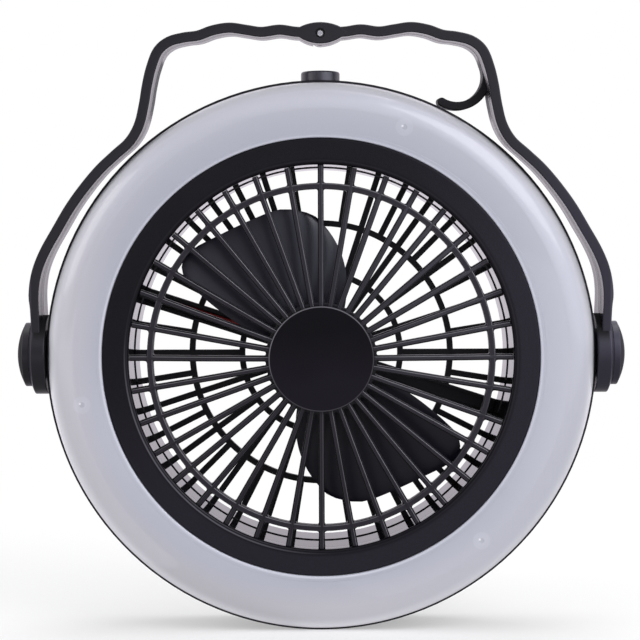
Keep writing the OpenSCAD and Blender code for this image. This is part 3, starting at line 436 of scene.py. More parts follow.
def frosted():
    # milky diffuser: satin skin, painted paler towards its shoulder and near white at its outer edge, lifted
    # inside at the lower left (painted light), with a painted highlight line at its inner lip, and the marks
    # of the three posts behind it, each with a painted glint beside it
    look = {"deep": (0.45, 0.463, 0.545), "pale": (0.518, 0.528, 0.602), "warm": (0.528, 0.514, 0.56),
            "edge": (0.8, 0.8, 0.86), "spark": (0.95, 0.95, 1.0), "shoulder": (93.0, 109.0),
            "lip": ((92.4, 92.6), (93.0, 93.6)), "lipTone": 1.3, "edgeFrom": (110.5, 116.0),
            "lowLeft": (-0.2, 1.2), "lowest": (0.9, 1.414), "dimple": 1.1, "discTone": 1.14, "dotTone": 0.8}
    board = skin("frosted diffuser")
    x, y, z, radius, toward = board.aroundFan()
    outward = radius.ease(*look["shoulder"])
    lip = radius.within(*look["lip"])
    clouds = board.noise(30, 1.0)
    lowLeft = toward(-1, -1).ease(*look["lowLeft"])
    lowest = toward(-1, -1).ease(*look["lowest"]) * (1 - outward)
    # painted light: paler towards the shoulder
    color = board.blend(outward * 0.9 + (clouds - 0.5) * 0.06, look["deep"], look["pale"])
    color = board.blend(outward * lowLeft * 0.8, color, look["warm"])
    # painted light: near white towards the outer edge
    color = board.blend(radius.ease(*look["edgeFrom"]) * 0.8, color, look["edge"])
    # painted light: the inner part at the lower left is lifted
    color = board.blend(lowest, color, scaled(look["deep"], look["discTone"]))
    # painted highlight: a line along the inner lip, brightest at the lower left
    color = board.blend(lip * (0.35 + lowLeft * 0.4), color, scaled(look["pale"], look["lipTone"]))
    pits, post, dimple = clouds * 0, lensPosts["r"], look["dimple"]
    for angle in lensPosts["angles"]:
        turn = radians(angle)
        dx = x - lensPosts["ring"] * mm * cos(turn)
        dz = z - lensPosts["ring"] * mm * sin(turn)
        away = (dx * dx + dz * dz) ** 0.5 / mm
        disc = 1 - away.ease(post - 0.35, post + 0.25)
        dot = 1 - away.ease(dimple - 0.3, dimple + 0.3)
        halo = away.near(dimple + 0.6, 0.1, 0.5)
        # painted highlight: a glint beside each post's dimple
        spark = 1 - (dx / mm + 0.8).size().most((dz / mm - 0.5).size()).ease(0.2, 0.6)
        color = board.blend(disc * 0.34 + halo * 0.12, color, scaled(look["pale"], look["discTone"]))
        color = board.blend(dot * 0.45, color, scaled(look["deep"], look["dotTone"]))
        color = board.blend(spark * 0.7, color, look["spark"])
        pits = pits + dot
    skinned = board.bump(board.noise(0.5), 0.0015, Normal=board.bump(pits, -0.1))
    return board.surface(color=color, roughness=0.36 + (clouds - 0.5) * 0.04, specular=0.5, scatter=0.25,
                         scatterRadius=(0.9, 0.95, 1.0), scatterScale=1.2 * mm, coat=0.7,
                         coatRoughness=0.09, normal=skinned)


def hubLook(name, color, roughness):
    # the cap: painted shade makes it darker towards its top, and a painted highlight runs round its edge,
    # brightest towards the top
    look = {"edge": (-0.38, 0.1, 0.32), "edgeTone": (0.15, 0.145, 0.165), "light": (-0.37, 0.93),
            "lightTurn": (-0.3, 0.6), "fall": 0.045}
    board = skin(name)
    x, y, z, radius, toward = board.aroundFan()
    # painted highlight: a line round the edge, brightest towards the top
    edge = (radius - body["hub"]).near(*look["edge"])
    lit = 0.3 + toward(*look["light"]).ease(*look["lightTurn"]) * 0.55
    clouds, fine = board.noise(16, 4.0), board.noise(0.32, 2.0, 0.6)
    # painted shade: darker towards the top
    share = clouds * 0.6 + fine * 0.4 - z / mm * look["fall"]
    tone = board.blend(share, scaled(color, 0.5), scaled(color, 1.5))
    return board.surface(color=board.blend(edge * lit * (0.6 + clouds * 0.8), tone, look["edgeTone"]),
                         roughness=roughness + (clouds - 0.5) * 0.1, specular=0.1,
                         normal=board.bump(fine, 0.006))


def sleeve(name, color):  # shrink sleeve, rubber and lead insulation
    board = skin(name)
    wear = board.noise(4, 4.0)
    return board.surface(color=board.blend(wear, scaled(color, 0.85), scaled(color, 1.1)),
                         roughness=0.5 + (wear - 0.5) * 0.2, normal=board.bump(board.noise(0.6), 0.008))


def circuit(name, color, trace):
    board, pitch = skin(name), 4.0
    cells = board.node("TexVoronoi", {"feature": "DISTANCE_TO_EDGE", "distance": "MANHATTAN"},
                       {"Vector": board.place(), "Scale": 1000 / pitch})
    lines = 1 - cells.ease(0.03, 0.07)
    return board.surface(color=board.blend(lines * 0.6, color, trace), roughness=0.35,
                         normal=board.bump(lines, 0.03))


def phosphor():
    board = skin("led phosphor")
    speck = board.noise(0.3, 3.0)
    return board.surface(color=board.blend(speck, (0.8, 0.66, 0.16), (0.93, 0.86, 0.45)), roughness=0.3,
                         coat=0.4, normal=board.bump(speck, 0.01))


finish = {
    # bezel: lit is the colour of the painted highlight line on its lip and of the painted light on its lower
    # right face
    "bezel": plastic("bezel black", (0.0045, 0.0041, 0.0063), 0.46, grain=0.44, grainDepth=0.065, cloud=0.25,
                     specular=0.16, bore=0.06, lit=(0.15, 0.145, 0.175)),
    "grille": ribbed("grille black", 0.36, 0.06),
    "hub": hubLook("hub black", (0.0055, 0.0045, 0.0075), 0.44),
    "rotor": plastic("rotor black", (0.006, 0.0054, 0.013), 0.3, 0.3, 0.002, specular=0.45),
    "handle": handleLook("handle black", (0.0125, 0.012, 0.0158), 0.36),
    "shell": plastic("housing black", (0.009, 0.0085, 0.011), 0.44, 0.36, 0.008, edge=0.35, bore=0.07),
    "guard": plastic("rear grille black", (0.007, 0.0066, 0.0085), 0.42, 0.3, 0.005, edge=0.25),
    "button": plastic("button black", (0.058, 0.0555, 0.073), 0.3, 0.25, 0.002, specular=0.6),
    "inner": plastic("inner black", (0.018, 0.0175, 0.019), 0.5, edge=0.2),
    "white": plastic("tray white", (0.8, 0.8, 0.79), 0.45, edge=0.2),
    "ivory": plastic("natural plastic", (0.66, 0.63, 0.54), 0.45, edge=0.1),
    "diffuser": frosted(),
    "steel": metal("zinc plated steel", (0.58, 0.58, 0.6), 0.32),
    "bright": metal("bright screw", (0.66, 0.66, 0.7), 0.24, metallic=0.5),
    "can": metal("motor can", (0.52, 0.53, 0.55), 0.36, (3.0, 0.12, 3.0)),
    "brass": metal("brass", (0.62, 0.45, 0.2), 0.3),
    "cell": sleeve("cell sleeve", (0.06, 0.2, 0.46)),
    "red": sleeve("red lead", (0.3, 0.015, 0.015)),
    "black": sleeve("black lead", (0.012, 0.012, 0.012)),
    "rubber": sleeve("foot rubber", (0.016, 0.016, 0.016)),
    "board": circuit("control board", (0.015, 0.14, 0.05), (0.04, 0.26, 0.1)),
    "ledBoard": circuit("led board", (0.78, 0.78, 0.74), (0.66, 0.64, 0.55)),
    "led": phosphor(),
}

nodeFinish = {
    "shell": "rear_housing", "guard": "rear_grille", "white": "light_tray", "can": "motor_can",
    "inner": "battery_cradles button_switch motor_retainer",
    "ivory": "motor_end_cap switch_plunger friction_washers",
    "steel": "motor_screws board_screws charge_socket housing_screws diffuser_screws pivot_screws "
             "hook_retainer motor_shaft",
    "brass": "rotor_clip motor_bush", "cell": "battery_cells", "red": "lead_red", "black": "lead_black",
    "rubber": "rubber_feet", "board": "control_board", "ledBoard": "led_board", "led": "leds",
    "bezel": "front_bezel", "grille": "front_grille", "hub": "hub_cap", "rotor": "rotor",
    "handle": "handle hook left_pivot_cap right_pivot_cap", "button": "button_cap",
    "diffuser": "diffuser", "bright": "hook_screw grille_screws",
}
for look, names in nodeFinish.items():
    for name in names.split():
        for materialSlot in frame["nodes"][name].material_slots:
            materialSlot.material = finish[look]
print("materials ready:", len(finish))


def makeBezel():
    size = {"front": -1.5, "lipRound": 2.5, "rimEdge": 0.55, "rimEnd": 10.9, "rimWall": 1.9, "floor": 0.7,
            "slot": (1.2, 5.9), "slotDeep": 1.1, "posts": (45, 135, 225, 315), "postRing": 87.0,
            "post": 3.1, "postSpan": (0.5, 21.9)}
    duct, rim, seam = body["duct"], body["bezel"], body["seam"]
    front, rimEnd, floor, (slotTop, slotLow) = size["front"], size["rimEnd"], size["floor"], size["slot"]
    sleeveR, rimIn, slotR = duct + body["wall"], rim - size["rimWall"], duct + size["slotDeep"]
    shell = Shell().lathe(rounded([
        (duct, slotTop, 0.1), (duct, front, size["lipRound"]), (rim, front, size["rimEdge"]),
        (rim, rimEnd, 0.2), (rimIn, rimEnd, 0.2), (rimIn, floor, 0), (sleeveR, floor, 0),
        (sleeveR, seam, 0.2), (duct, seam, 0.3), (duct, slotLow, 0.15), (slotR, slotLow, 0),
        (slotR, slotTop, 0)], 8), aroundFan, 240)
    post, (top, foot) = size["post"], size["postSpan"]
    for angle in size["posts"]:
        shell.lathe([(0, top), (post, top), (post, foot), (0, foot)], aroundPost(size["postRing"], angle),
                    24, False)
    shell.piece("bezel", "housing", "black_shell", ["front_bezel"])


def ribTop(r):
    return -grille["rise"] * (1 - (r / grille["flatFrom"]) ** 2) if r < grille["flatFrom"] else 0.0


def makeGrille():
    size = {"root": 19.5, "short": 0.15, "steps": 22, "tieDown": 0.15, "tieBack": 4.0, "rimOut": 1,
            "rim": (1.3, 5.8), "collarIn": 20.5, "collarDeep": 3, "fillet": (0.8, 0.35, 3.6),
            "collarFillet": (0.55, 0.1, 2.8), "hole": 4.1, "plateRim": 4, "plateDeep": 4.4, "plateThick": 2.4}
    half, crest = grille["ribWide"] / 2, grille["crestWide"] / 2
    step, deep, flare = grille["crestHigh"], grille["ribDeep"], 0.04
    section = rounded([(-crest, 0, 0.22), (crest, 0, 0.22), (crest + flare, step, 0.12),
                       (half, step + 0.05, 0.22), (half, deep, 0.3), (-half, deep, 0.3),
                       (-half, step + 0.05, 0.22), (-crest - flare, step, 0.12)], 3)
    duct, root, steps = body["duct"], size["root"], size["steps"]
    stations = [root + (duct - size["short"] - root) * i / steps for i in range(steps + 1)]
    shell = Shell()
    for i in range(grille["ribs"]):
        turn = radians(90 + i * 360 / grille["ribs"])
        right, up = cos(turn), sin(turn)
        shell.rows([[at(r * right - up * t, ribTop(r) + d, r * up + right * t) for t, d in section]
                    for r in stations], ends="flat")
    tie, wide, tieBack = grille["tie"], grille["tieWide"] / 2, size["tieBack"]
    tieFront = ribTop(tie) + size["tieDown"]
    shell.lathe(rounded([(tie - wide, tieFront, 0.7), (tie + wide, tieFront, 0.7),
                         (tie + wide, tieBack, 0.3), (tie - wide, tieBack, 0.3)]), aroundFan, 200)
    rimOut, (rimFront, rimBack) = duct + size["rimOut"], size["rim"]
    shell.lathe([(duct, rimFront), (rimOut, rimFront), (rimOut, rimBack), (duct, rimBack)], aroundFan, 240)
    collar, front = grille["collar"], grille["collarFront"]
    back = front + size["collarDeep"]
    shell.lathe(rounded([(size["collarIn"], front, 0), (collar, front, 0.3), (collar, back, 0.3),
                         (size["collarIn"], back, 0)]), aroundFan, 180)
    # a fillet in every corner between the ribs and the two rings
    (bend, high, low), (collarBend, collarHigh, collarLow) = size["fillet"], size["collarFillet"]
    high += ribTop(tie)
    corners = ((tie - wide, -1, bend, high, low), (tie + wide, 1, bend, high, low),
               (collar, 1, collarBend, front + collarHigh, front + collarLow))
    for turn in circle(grille["ribs"]):
        right, up = cos(turn), sin(turn)
        for r, away, radius, top, end in corners:
            for flank in (1, -1):
                centre, sunk = (r + away * radius, flank * (half + radius)), 0.2
                corner = [(r - away * sunk, flank * (half - sunk)), (r - away * sunk, centre[1])]
                corner += oval(centre, (-away * radius, -flank * radius), 0, 90, 5)
                corner += [(centre[0], flank * (half - sunk))]
                shell.rows([[at(a * right - b * up, d, a * up + b * right) for a, b in corner]
                            for d in (top, end)], ends="flat")
    front, plate, hole = grille["plateFront"], grille["plate"], size["hole"]
    back, floor, rimIn = front + size["plateDeep"], front + size["plateThick"], plate - size["plateRim"]
    shell.lathe(rounded([(hole, front, 0), (plate, front, 0.3), (plate, back, 0.3), (rimIn, back, 0.3),
                         (rimIn, floor, 0), (hole, floor, 0)]), aroundFan, 96)
    shell.piece("frontGrille", "housing", "black_shell", ["front_grille"])


def makeHubCap():
    size = {"back": -9.0, "edge": 0.75, "spigot": 4.0, "spigotDeep": 2}
    hub, front, back, spigot = body["hub"], body["hubFront"], size["back"], size["spigot"]
    end = back + size["spigotDeep"]
    outline = rounded([(0, front, 0), (hub, front, size["edge"]), (hub, back, 0.2), (spigot, back, 0),
                       (spigot, end, 0.2), (0, end, 0)], 8)
    Shell().lathe(outline, aroundFan, 160, False).piece("hubCap", "housing", "black_shell", ["hub_cap"])


def makeDiffuser():
    size = {"gap": 0.2, "out": 0.15, "skirt": (1.0, 2.4), "edge": 9.5, "face": -1.6, "flatIn": 2.4,
            "wall": 2.0, "sideWall": 2.4, "shoulder": 11.9, "lip": 1.8, "ends": (10.9, 10.8),
            "bore": 1.3, "boreTop": 2.4, "postTop": 0.3}
    inner, outer = body["bezel"] + size["gap"], body["lens"] + size["out"]
    edge, face, shoulder, (skirtEnd, lipEnd) = size["edge"], size["face"], size["shoulder"], size["ends"]
    flat, rise = outer - shoulder, edge - face
    outline = rounded([(inner, lipEnd, 0.2), (inner, face, 0.7), (inner + size["flatIn"], face, 0.1)], 6)
    outline += oval((flat, edge), (shoulder, rise), 270, 360, 36)
    skirtOut, skirtIn = (outer - short for short in size["skirt"])
    outline += [(skirtOut, edge), (skirtOut, skirtEnd), (skirtIn, skirtEnd)]
    outline += oval((flat, edge), (shoulder - size["sideWall"], rise - size["wall"]), 360, 270, 24)
    outline += [(inner + size["lip"], face + size["wall"]), (inner + size["lip"], lipEnd)]
    shell = Shell().lathe(outline, aroundFan, 260)
    post, bore, top = lensPosts["r"], size["bore"], size["postTop"]
    for angle in lensPosts["angles"]:
        shell.lathe([(0, size["boreTop"]), (bore, size["boreTop"]), (bore, skirtEnd), (post, skirtEnd),
                     (post, top), (0, top)], aroundPost(lensPosts["ring"], angle), 32, False)
    shell.piece("ringLight", "housing", "frosted_diffuser", ["diffuser"])


def makeRotor():
    size = {"hub": 19.5, "front": 3.2, "back": 16.4, "skin": 1.9, "boss": 4.0, "bore": 1.02, "nose": 2.0,
            "web": 2, "bossShort": 0.6, "thick": 1.6, "trailing": 5.6, "pitch": 10.0, "droop": 0.12,
            "camber": 0.4, "root": 17.85, "rootFrom": 59.9, "rootSweep": 105.1, "spans": 30, "chords": 18}
    # one blade seen from the front: both edges as curves with one handle, and its tip as (angle, radius)
    leading = [Vector(p) for p in ((10, 15.5), (17, 42), (-2, 59.5))]
    trailing = [Vector(p) for p in ((-17.2, 4.6), (-38.5, 13.5), (-57, 33))]
    tip = smoothLine([(r * cos(radians(a)), r * sin(radians(a))) for a, r in (
        (92, 59.5), (97, 62.1), (106, 65), (118, 65.3), (132, 68.0), (140, 71.0), (146, 71.0),
        (150.3, 66.6))], 8)

    def curve(p, t):
        return p[0] * (1 - t) ** 2 + p[1] * 2 * t * (1 - t) + p[2] * t * t

    def tipAt(c):
        step = c * (len(tip) - 1)
        i = min(int(step), len(tip) - 2)
        return tip[i].lerp(tip[i + 1], step - i)

    def rootAt(c):
        turn = radians(size["rootFrom"] + c * size["rootSweep"])
        return Vector((size["root"] * cos(turn), size["root"] * sin(turn)))

    def spot(s, c):  # span s from root to tip, chord c from leading to trailing edge
        flat = ((1 - c) * curve(leading, s) + c * curve(trailing, s) + (1 - s) * rootAt(c) + s * tipAt(c)
                - (1 - s) * ((1 - c) * leading[0] + c * trailing[0])
                - s * ((1 - c) * leading[2] + c * trailing[2]))
        deep = (size["trailing"] + size["pitch"] * (1 - c) ** 1.25 * (1 - size["droop"] * s)
                + size["camber"] * sin(pi * c))
        # thin towards its edges and its tip
        thick = size["thick"] * (0.3 + 0.7 * sin(pi * min(max(c, 0.01), 0.99)) ** 0.5)
        thick *= 0.45 + 0.55 * min(1, (1 - s) * 12) ** 0.5
        return flat, deep, thick

    spans, chords, middle = size["spans"], size["chords"], size["thick"] / 2
    shell = Shell()
    for half in (1, -1):
        rows = []
        for i in range(spans + 1):
            spots = [spot(i / spans, j / chords) for j in range(chords + 1)]
            rows.append([at(half * f.x, d + middle - t / 2, half * f.y) for f, d, t in spots]
                        + [at(half * f.x, d + middle + t / 2, half * f.y) for f, d, t in reversed(spots)])
        shell.rows(rows, ends="zip")
    hub, front, back, bore, boss = size["hub"], size["front"], size["back"], size["bore"], size["boss"]
    hubIn, web, bossEnd = hub - size["skin"], front + size["web"], back - size["bossShort"]
    shell.lathe(rounded([(bore, front, 0.1), (hub, front, size["nose"]), (hub, back, 0.4),
                         (hubIn, back, 0.3), (hubIn, web, 0.4), (boss, web, 0.4), (boss, bossEnd, 0.2),
                         (bore, bossEnd, 0.1)], 6), aroundFan, 128)
    shell.piece("rotorBlades", "fan", "black_rotor", ["rotor"])


# middle line of the handle's right half, from the pivot up to the boss
halfLine = smoothLine([
    (121.1, 0), (121.3, 14), (121.6, 27), (120.2, 36.5), (116.7, 45.3), (111, 55.2), (105.7, 64),
    (99.7, 72.2), (93, 80), (86.3, 86.2), (80.2, 91.7), (76.2, 98.5), (74, 107), (72.6, 115),
    (70.8, 122.3), (67.9, 129.3), (63.2, 133.2), (57, 134.9), (51, 135.7), (45, 137.8), (38, 138.9),
    (31, 138), (24.5, 137.1), (17, 138), (10, 137.1), (0, 136.7)], 6)


def stripRow(line, i, outer, inner, front, back, edge):
    # one cross-section of a strip that follows a line in the handle's plane
    ahead = line[min(i + 1, len(line) - 1)] - line[max(i - 1, 0)]
    side = Vector((ahead.y, -ahead.x)).normalized()
    section = rounded([(outer, front, edge), (outer, back, edge), (-inner, back, edge),
                       (-inner, front, edge)], 3)
    return [onHandle(*(line[i] + side * across), w) for across, w in section]


def armOuter(v):  # the arms are thinned on their outer side beside the pivots
    thinned, end, run = 0.5, 26, 4
    return strip["thick"] / 2 - thinned * max(0.0, min(1.0, (end - v) / run))


def bossEdge(turn, inset):
    # distance from the hook's pin to the almond-shaped edge of the boss
    reach = []
    for height, radius in (strip["bossTop"], strip["bossLow"]):
        rise = strip["pinHeight"] - height
        along = rise * sin(turn)
        reach.append(-along + sqrt((radius - inset) ** 2 - rise ** 2 + along ** 2))
    return min(reach)


def makeHandle():
    size = {"from": 8, "nestGap": 0.3, "proud": 0.03, "bore": 1.0, "seat": 6, "sink": 2,
            "sinkRim": (2.0, 2.15, 0.15), "splitIn": 0.6, "behind": (143, 89), "nest": (4.75, 232, 73),
            "overlap": 1, "short": 0.02, "sleeve": 2.6, "sleeveShort": 1.2}
    disc = {"bore": 5.05, "in": 117.0, "r": 17.0, "face": 122.6, "rim": 13.9, "seat": 124.0, "sinkR": 9.2,
            "sink": 121.4}
    half, edge, split = strip["half"], strip["edge"], strip["split"]
    shell = Shell()
    for side in (1, -1):
        line = [Vector((side * p.x, p.y)) for p in halfLine if p.x > size["from"]]
        rows, wasNested = [], False
        for i, p in enumerate(line):
            outer, inner = armOuter(p.y), strip["thick"] / 2
            if side < 0:
                outer, inner = inner, outer
            nested = side > 0 and p.y > strip["legEnd"] - size["nestGap"]
            if nested and rows and not wasNested:
                rows.append(stripRow(line, i, outer, inner, -half, half, edge))
            rows.append(stripRow(line, i, outer, inner, -half, split if nested else half, edge))
            wasNested = nested
        shell.rows(rows, ends="flat")
    # the boss, with the screw's counterbore in its front
    turns = circle(96)
    ring = lambda r, w: [aroundPin(r, w, turn) for turn in turns]
    edgeRow = lambda inset, w: [aroundPin(bossEdge(turn, inset), w, turn) for turn in turns]
    front, bore, sinkFloor = -half - size["proud"], size["bore"], -half + size["sink"]
    sinkR, rimR, rimDeep = size["sinkRim"]
    rows = [ring(bore, -half + size["seat"]), ring(bore, sinkFloor), ring(sinkR, sinkFloor),
            ring(sinkR, front + rimDeep), ring(rimR, front)]
    for k in range(5):
        bend = k * pi / 8
        rows.append(edgeRow(edge * (1 - sin(bend)), front + edge * (1 - cos(bend))))
    rows += [edgeRow(0, split), edgeRow(size["splitIn"], split)]
    shell.rows(rows, ends="flat")
    # what is left of the boss behind the split, left of the hook's round end,
    # and out of the way of its arm at the end of the swing
    (start, sweep), (nest, nestFrom, nestSweep) = size["behind"], size["nest"]
    overlap, steps = split - size["overlap"], 24
    turns = [radians(start + sweep * k / steps) for k in range(steps + 1)]
    outerEdge = [(bossEdge(turn, 0), turn) for turn in turns]
    innerEdge = [(nest, radians(nestFrom - nestSweep * k / steps)) for k in range(steps + 1)]
    shell.rows([[aroundPin(r, w, turn) for r, turn in outerEdge + innerEdge]
                for w in (overlap, half - size["short"])], ends="zip")
    sleeveR, end = size["sleeve"], half - size["sleeveShort"]
    shell.lathe(rounded([(bore, overlap, 0), (sleeveR, overlap, 0), (sleeveR, end, 0.1), (bore, end, 0)]),
                aroundPin, 32)
    bore, back, r, face, seat = disc["bore"], disc["in"], disc["r"], disc["face"], disc["seat"]
    for side in (1, -1):
        shell.lathe(rounded([(bore, back, 0.2), (r, back, 0.5), (r, face, 0.5), (disc["rim"], seat, 0.3),
                             (disc["sinkR"], seat, 0), (disc["sinkR"], disc["sink"], 0),
                             (bore, disc["sink"], 0.1)]), aroundPivot(side), 128)
    shell.piece("carryHandle", "carry_handle", "black_handle", ["handle"])


def makeHook():
    size = {"front": 0.2, "curl": 12.6, "curlAt": (70.9, 119.0), "curlThick": 3.6, "sweep": 121.6,
            "lead": 14, "steps": 44, "from": 3.4, "boss": 4.4, "bore": 2.65, "recess": 3.7,
            "recessDeep": 1.5, "leastHalf": 0.12, "inset": 0.02, "under": (4.2, 0.05)}
    half, edge, thick, front = strip["half"], strip["edge"], strip["thick"] / 2, size["front"]
    shell = Shell()
    leg = [p for p in halfLine if p.y >= strip["legEnd"] and p.x >= size["from"]]
    shell.rows([stripRow(leg, i, thick, thick, front, half, edge) for i in range(len(leg))], ends="flat")
    steps, lead, curl = size["steps"], size["lead"], size["curl"]
    centre = Vector((size["curlAt"][0] - curl, size["curlAt"][1]))
    angles = [radians(lead - (size["sweep"] + lead) * k / steps) for k in range(steps + 1)]
    line = [centre + curl * Vector((cos(a), sin(a))) for a in angles]
    heading = Vector((sin(angles[-1]), -cos(angles[-1])))
    tipR = size["curlThick"] / 2
    widths = [tipR] * len(line)
    for k in range(1, 9):  # the round tip
        line.append(line[steps] + heading * tipR * sin(k * pi / 16))
        widths.append(max(size["leastHalf"], tipR * cos(k * pi / 16)))
    shell.rows([stripRow(line, i, widths[i], widths[i], front, half, min(edge, widths[i] * 0.6))
                for i in range(len(line))], ends="flat")
    boss, bore, recess, floor = size["boss"], size["bore"], size["recess"], half - size["recessDeep"]
    shell.lathe(rounded([(bore, front, 0.15), (boss, front, 0.4), (boss, half, 0.4), (recess, half, 0.1),
                         (recess, floor, 0), (bore, floor, 0)]), aroundPin, 72)
    # lower right part of the boss, from under its round middle to the arm
    inset, (under, gap) = size["inset"], size["under"]
    turns = [radians(-90 + 90 * k / 24) for k in range(25)]
    outerEdge = [(bossEdge(turn, inset), turn) for turn in turns]
    innerEdge = [(min(under, bossEdge(turn, inset) - gap), turn) for turn in reversed(turns)]
    shell.rows([[aroundPin(r, w, turn) for r, turn in outerEdge + innerEdge]
                for w in (front + inset, half - inset)], ends="zip")
    shell.piece("hangerHook", "hanger_hook", "black_handle", ["hook"])


def makePivotCaps():
    size = {"r": 13.7, "seat": 124.0, "rim": 127.0, "edge": 0.35, "top": 130.4, "hollow": (5.2, 1.4),
            "spigot": (8.1, 9.15), "spigotDeep": 1.1, "foot": 0.3}
    r, seat, edge, foot = size["r"], size["seat"], size["edge"], size["foot"]
    hollow, hollowDeep = size["hollow"]
    # the dome is part of a ball that meets a small round at the rim
    rise, wide = size["top"] - size["rim"], r - edge
    bow = (wide * wide + rise * rise) / (2 * rise)
    lean = degrees(asin(wide / bow))
    dome = oval((wide, size["rim"] - edge), (edge, edge), 0, 90 - lean, 4)
    dome += oval((0, size["top"] - bow), (bow, bow), 90 - lean, 90, 24)
    (inner, outer), end = size["spigot"], seat - size["spigotDeep"]
    outline = [(0, seat + hollowDeep), (hollow, seat + hollowDeep), (hollow, seat), (inner, seat),
               (inner, end), (outer, end), (outer, seat), (r - foot, seat), (r, seat + foot)] + dome
    for side, name in ((-1, "left"), (1, "right")):
        Shell().lathe(outline, aroundPivot(side), 128, False).piece(
            name + "PivotCap", "carry_handle", "black_handle", [name + "_pivot_cap"])


def makeButton():
    size = {"r": 8.3, "top": 121.6, "round": 1.0, "flange": 9.0, "flangeZ": (110.6, 111.6), "stem": 2.0,
            "stemZ": 109.6, "depth": 22.0}
    (low, high), r, top, flange = size["flangeZ"], size["r"], size["top"], size["flange"]
    stem, foot = size["stem"], size["stemZ"]
    outline = rounded([(0, foot, 0), (stem, foot, 0.2), (stem, low, 0.2), (flange, low, 0.2),
                       (flange, high, 0.2), (r, high, 0), (r, top, size["round"]), (0, top, 0)], 6)
    place = lambda r, z, turn: at(r * cos(turn), size["depth"] + r * sin(turn), z)
    Shell().lathe(outline, place, 96, False).piece("pushButton", "button", "black_button", ["button_cap"])


def crossHead(shell, place, r, top, base, shank, deep):
    # pan head with a cross recess: the top is a fan of slices, sunk where the cross lies
    turns, steps, core = circle(72), 18, 0.001
    arm, reach, flat = r * 0.17, r * 0.62, r * 0.8

    def sunk(rho, turn):
        x, y = abs(rho * cos(turn)), abs(rho * sin(turn))
        return deep if (x < arm and y < reach) or (y < arm and x < reach) else 0.0

    way, high = 1 if base > top else -1, abs(base - top)
    ring = lambda rho, level: [place(rho, level, turn) for turn in turns]
    rows = [ring(core, top + way * deep)]
    for k in range(1, steps + 1):
        rho = flat * k / steps
        rows.append([place(rho, top + way * sunk(rho, turn), turn) for turn in turns])
    rows += [ring(r * 0.95, top + way * 0.12 * high), ring(r, top + way * 0.4 * high), ring(r, base),
             ring(shank[0], base), ring(*shank), ring(core, shank[1])]
    shell.rows(rows)


def makeScrews():
    size = {"cross": 0.6, "hookHead": (1.3, 0.5, 2), "hookShank": (0.95, 0.4), "angles": (0, 90, 180, 270),
            "ring": 87.0, "head": (2.3, 44.6, 43.4), "shank": (1.2, 35.7)}
    hook, rear, half = Shell(), Shell(), strip["half"]
    (r, top, base), (shank, short) = size["hookHead"], size["hookShank"]
    crossHead(hook, aroundPin, r, top - half, base - half, (shank, half - short), size["cross"])
    hook.piece("hookScrew", "carry_handle", "steel", ["hook_screw"])
    for angle in size["angles"]:
        crossHead(rear, aroundPost(size["ring"], angle), *size["head"], size["shank"], size["cross"])
    rear.piece("grilleScrews", "housing", "steel", ["grille_screws"])


makeBezel()
makeGrille()
makeHubCap()
makeDiffuser()
makeRotor()
makeHandle()
makeHook()
makePivotCaps()
makeButton()
makeScrews()
print("pieces ready")


white, mirrorTint = (1.0, 1.0, 1.0), (0.97, 0.91, 1.0)  # what is mirrored is faintly violet


def makeFloor():
    # pale near the fan so that its shadow shows, and plain white further out
    size = {"half": 9.0, "shadow": (0.25, 0.6), "shadowLevel": 0.6, "tone": (0.93, 0.93, 0.94),
            "behind": (0.0, 0.3), "near": 0.32, "aheadFrom": (0.3, 0.9), "ahead": 0.9, "bounce": 1.15}
    half = size["half"]
    mesh = bpy.data.meshes.new("floor")
    mesh.from_pydata([(-half, -half, 0), (half, -half, 0), (half, half, 0), (-half, half, 0)], [],
                     [(0, 1, 2, 3)])
    floor = newObject("floor", mesh)
    board = skin("floor")
    x, y, z = board.axes()
    away = (x * x + y * y) ** 0.5
    seen, glossy, diffuse = board.ray("Camera"), board.ray("Glossy"), board.ray("Diffuse")
    matt = board.node("BsdfDiffuse", {}, {"Color": size["tone"]})
    plain = board.node("Emission", {}, {"Color": white, "Strength": 1.0})
    # dark in front where it is mirrored, so that the blacks stay deep; bright as a bounce for what is matt
    behind = y.ease(*size["behind"])
    mirrored = behind + (1 - behind) * (size["near"] + (0 - y).ease(*size["aheadFrom"]) * size["ahead"])
    strength = glossy * mirrored + (1 - glossy) * size["bounce"]
    color = board.blend(glossy, white, mirrorTint)
    other = board.node("Emission", {}, {"Color": color, "Strength": strength})
    far = away.ease(*size["shadow"])
    share = far * size["shadowLevel"] + (1 - size["shadowLevel"])
    both = board.node("MixShader", {}, {0: share * seen, 1: matt, 2: plain})
    both = board.node("MixShader", {}, {0: glossy.most(diffuse), 1: both, 2: other})
    board.node("OutputMaterial", {}, {"Surface": both})
    floor.data.materials.append(board.owner)


def makeLamps():
    lamps = {"key": ((1.0, -1.05, 1.15), 1.15, 11, (1.0, 0.985, 0.99)),
             "fill": ((-1.35, -0.55, 0.8), 0.8, 5, (1.0, 0.985, 0.97)),
             "top": ((0.1, 0.3, 1.5), 1.0, 8, white)}
    aim = Vector((0, 0, 0.12))
    for name, (place, size, power, color) in lamps.items():
        data = bpy.data.lights.new(name, "AREA")
        data.size, data.energy, data.color = size, power, color
        made = newObject(name, data)
        made.location = place
        made.rotation_euler = (aim - Vector(place)).to_track_quat("-Z", "Y").to_euler()


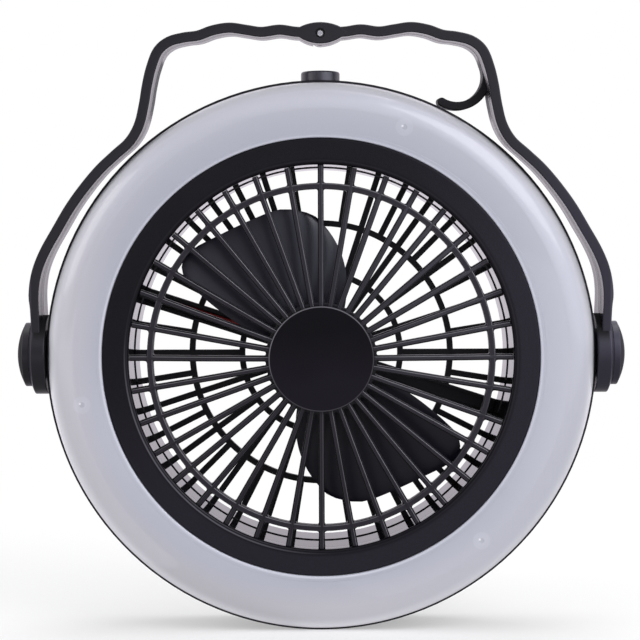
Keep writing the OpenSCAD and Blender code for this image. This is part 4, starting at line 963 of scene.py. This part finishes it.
def makeWorld():
    # white where it is seen; what is mirrored is dark in front of the fan, with paler patches at the right,
    # high up and in a box ahead, and white behind it
    level = {"front": 0.02, "right": 2.6, "high": 0.9, "box": 0.65, "behind": 1.0, "fill": 0.64}
    edge = {"behind": (-0.55, 0.25), "right": (0.04, 0.3), "high": (0.04, 0.32), "box": (-0.83, -0.78),
            "boxRise": (-0.45, 0.0), "cool": (0.0, 0.25)}
    world = bpy.data.worlds.new("studio")
    bpy.context.scene.world = world
    board = Board(world)
    x, y, z = board.axes(board.node("TexCoord", out="Generated"))
    seen, clear, glossy = board.ray("Camera"), board.ray("Transmission"), board.ray("Glossy")
    behind = y.ease(*edge["behind"])
    ahead = level["front"] + x.ease(*edge["right"]) * level["right"]
    ahead = ahead.most(((x + z) * 0.7).ease(*edge["high"]) * level["high"])
    ahead = ahead.most(y.ease(*edge["box"]) * z.ease(*edge["boxRise"]) * level["box"])
    gloss = ahead + (level["behind"] - ahead) * behind
    light = glossy * gloss + (1 - glossy) * level["fill"]
    shown = seen.most(clear)
    strength = shown + (1 - shown) * light
    cool = board.blend(x.ease(*edge["cool"]) * (1 - behind), mirrorTint, (0.8, 0.82, 1.0))
    color = board.blend(glossy, white, cool)
    back = board.node("Background", {}, {"Color": color, "Strength": strength})
    board.node("OutputWorld", {}, {"Surface": back})


def makeCamera():
    # in millimetres from the lip and the fan's axis, and degrees
    view = {"away": 763.5, "above": 43.4, "left": 0.21, "down": 2.07, "turn": 0.02, "roll": -0.2,
            "lens": 102.35, "sensor": 36.0}
    data = bpy.data.cameras.new("camera")
    data.sensor_width, data.lens = view["sensor"], view["lens"]
    data.clip_start, data.clip_end = 0.05, 50
    made = newObject("camera", data)
    made.location = (-view["left"] * mm, lipY - view["away"] * mm, axisH + view["above"] * mm)
    aim = Euler((radians(90 - view["down"]), 0, radians(view["turn"]))).to_matrix()
    made.rotation_euler = (aim @ Matrix.Rotation(radians(view["roll"]), 3, "Z")).to_euler()
    bpy.context.scene.camera = made


makeFloor()
makeLamps()
makeWorld()
makeCamera()
bpy.context.scene.view_settings.view_transform = "Standard"
print("stage ready")
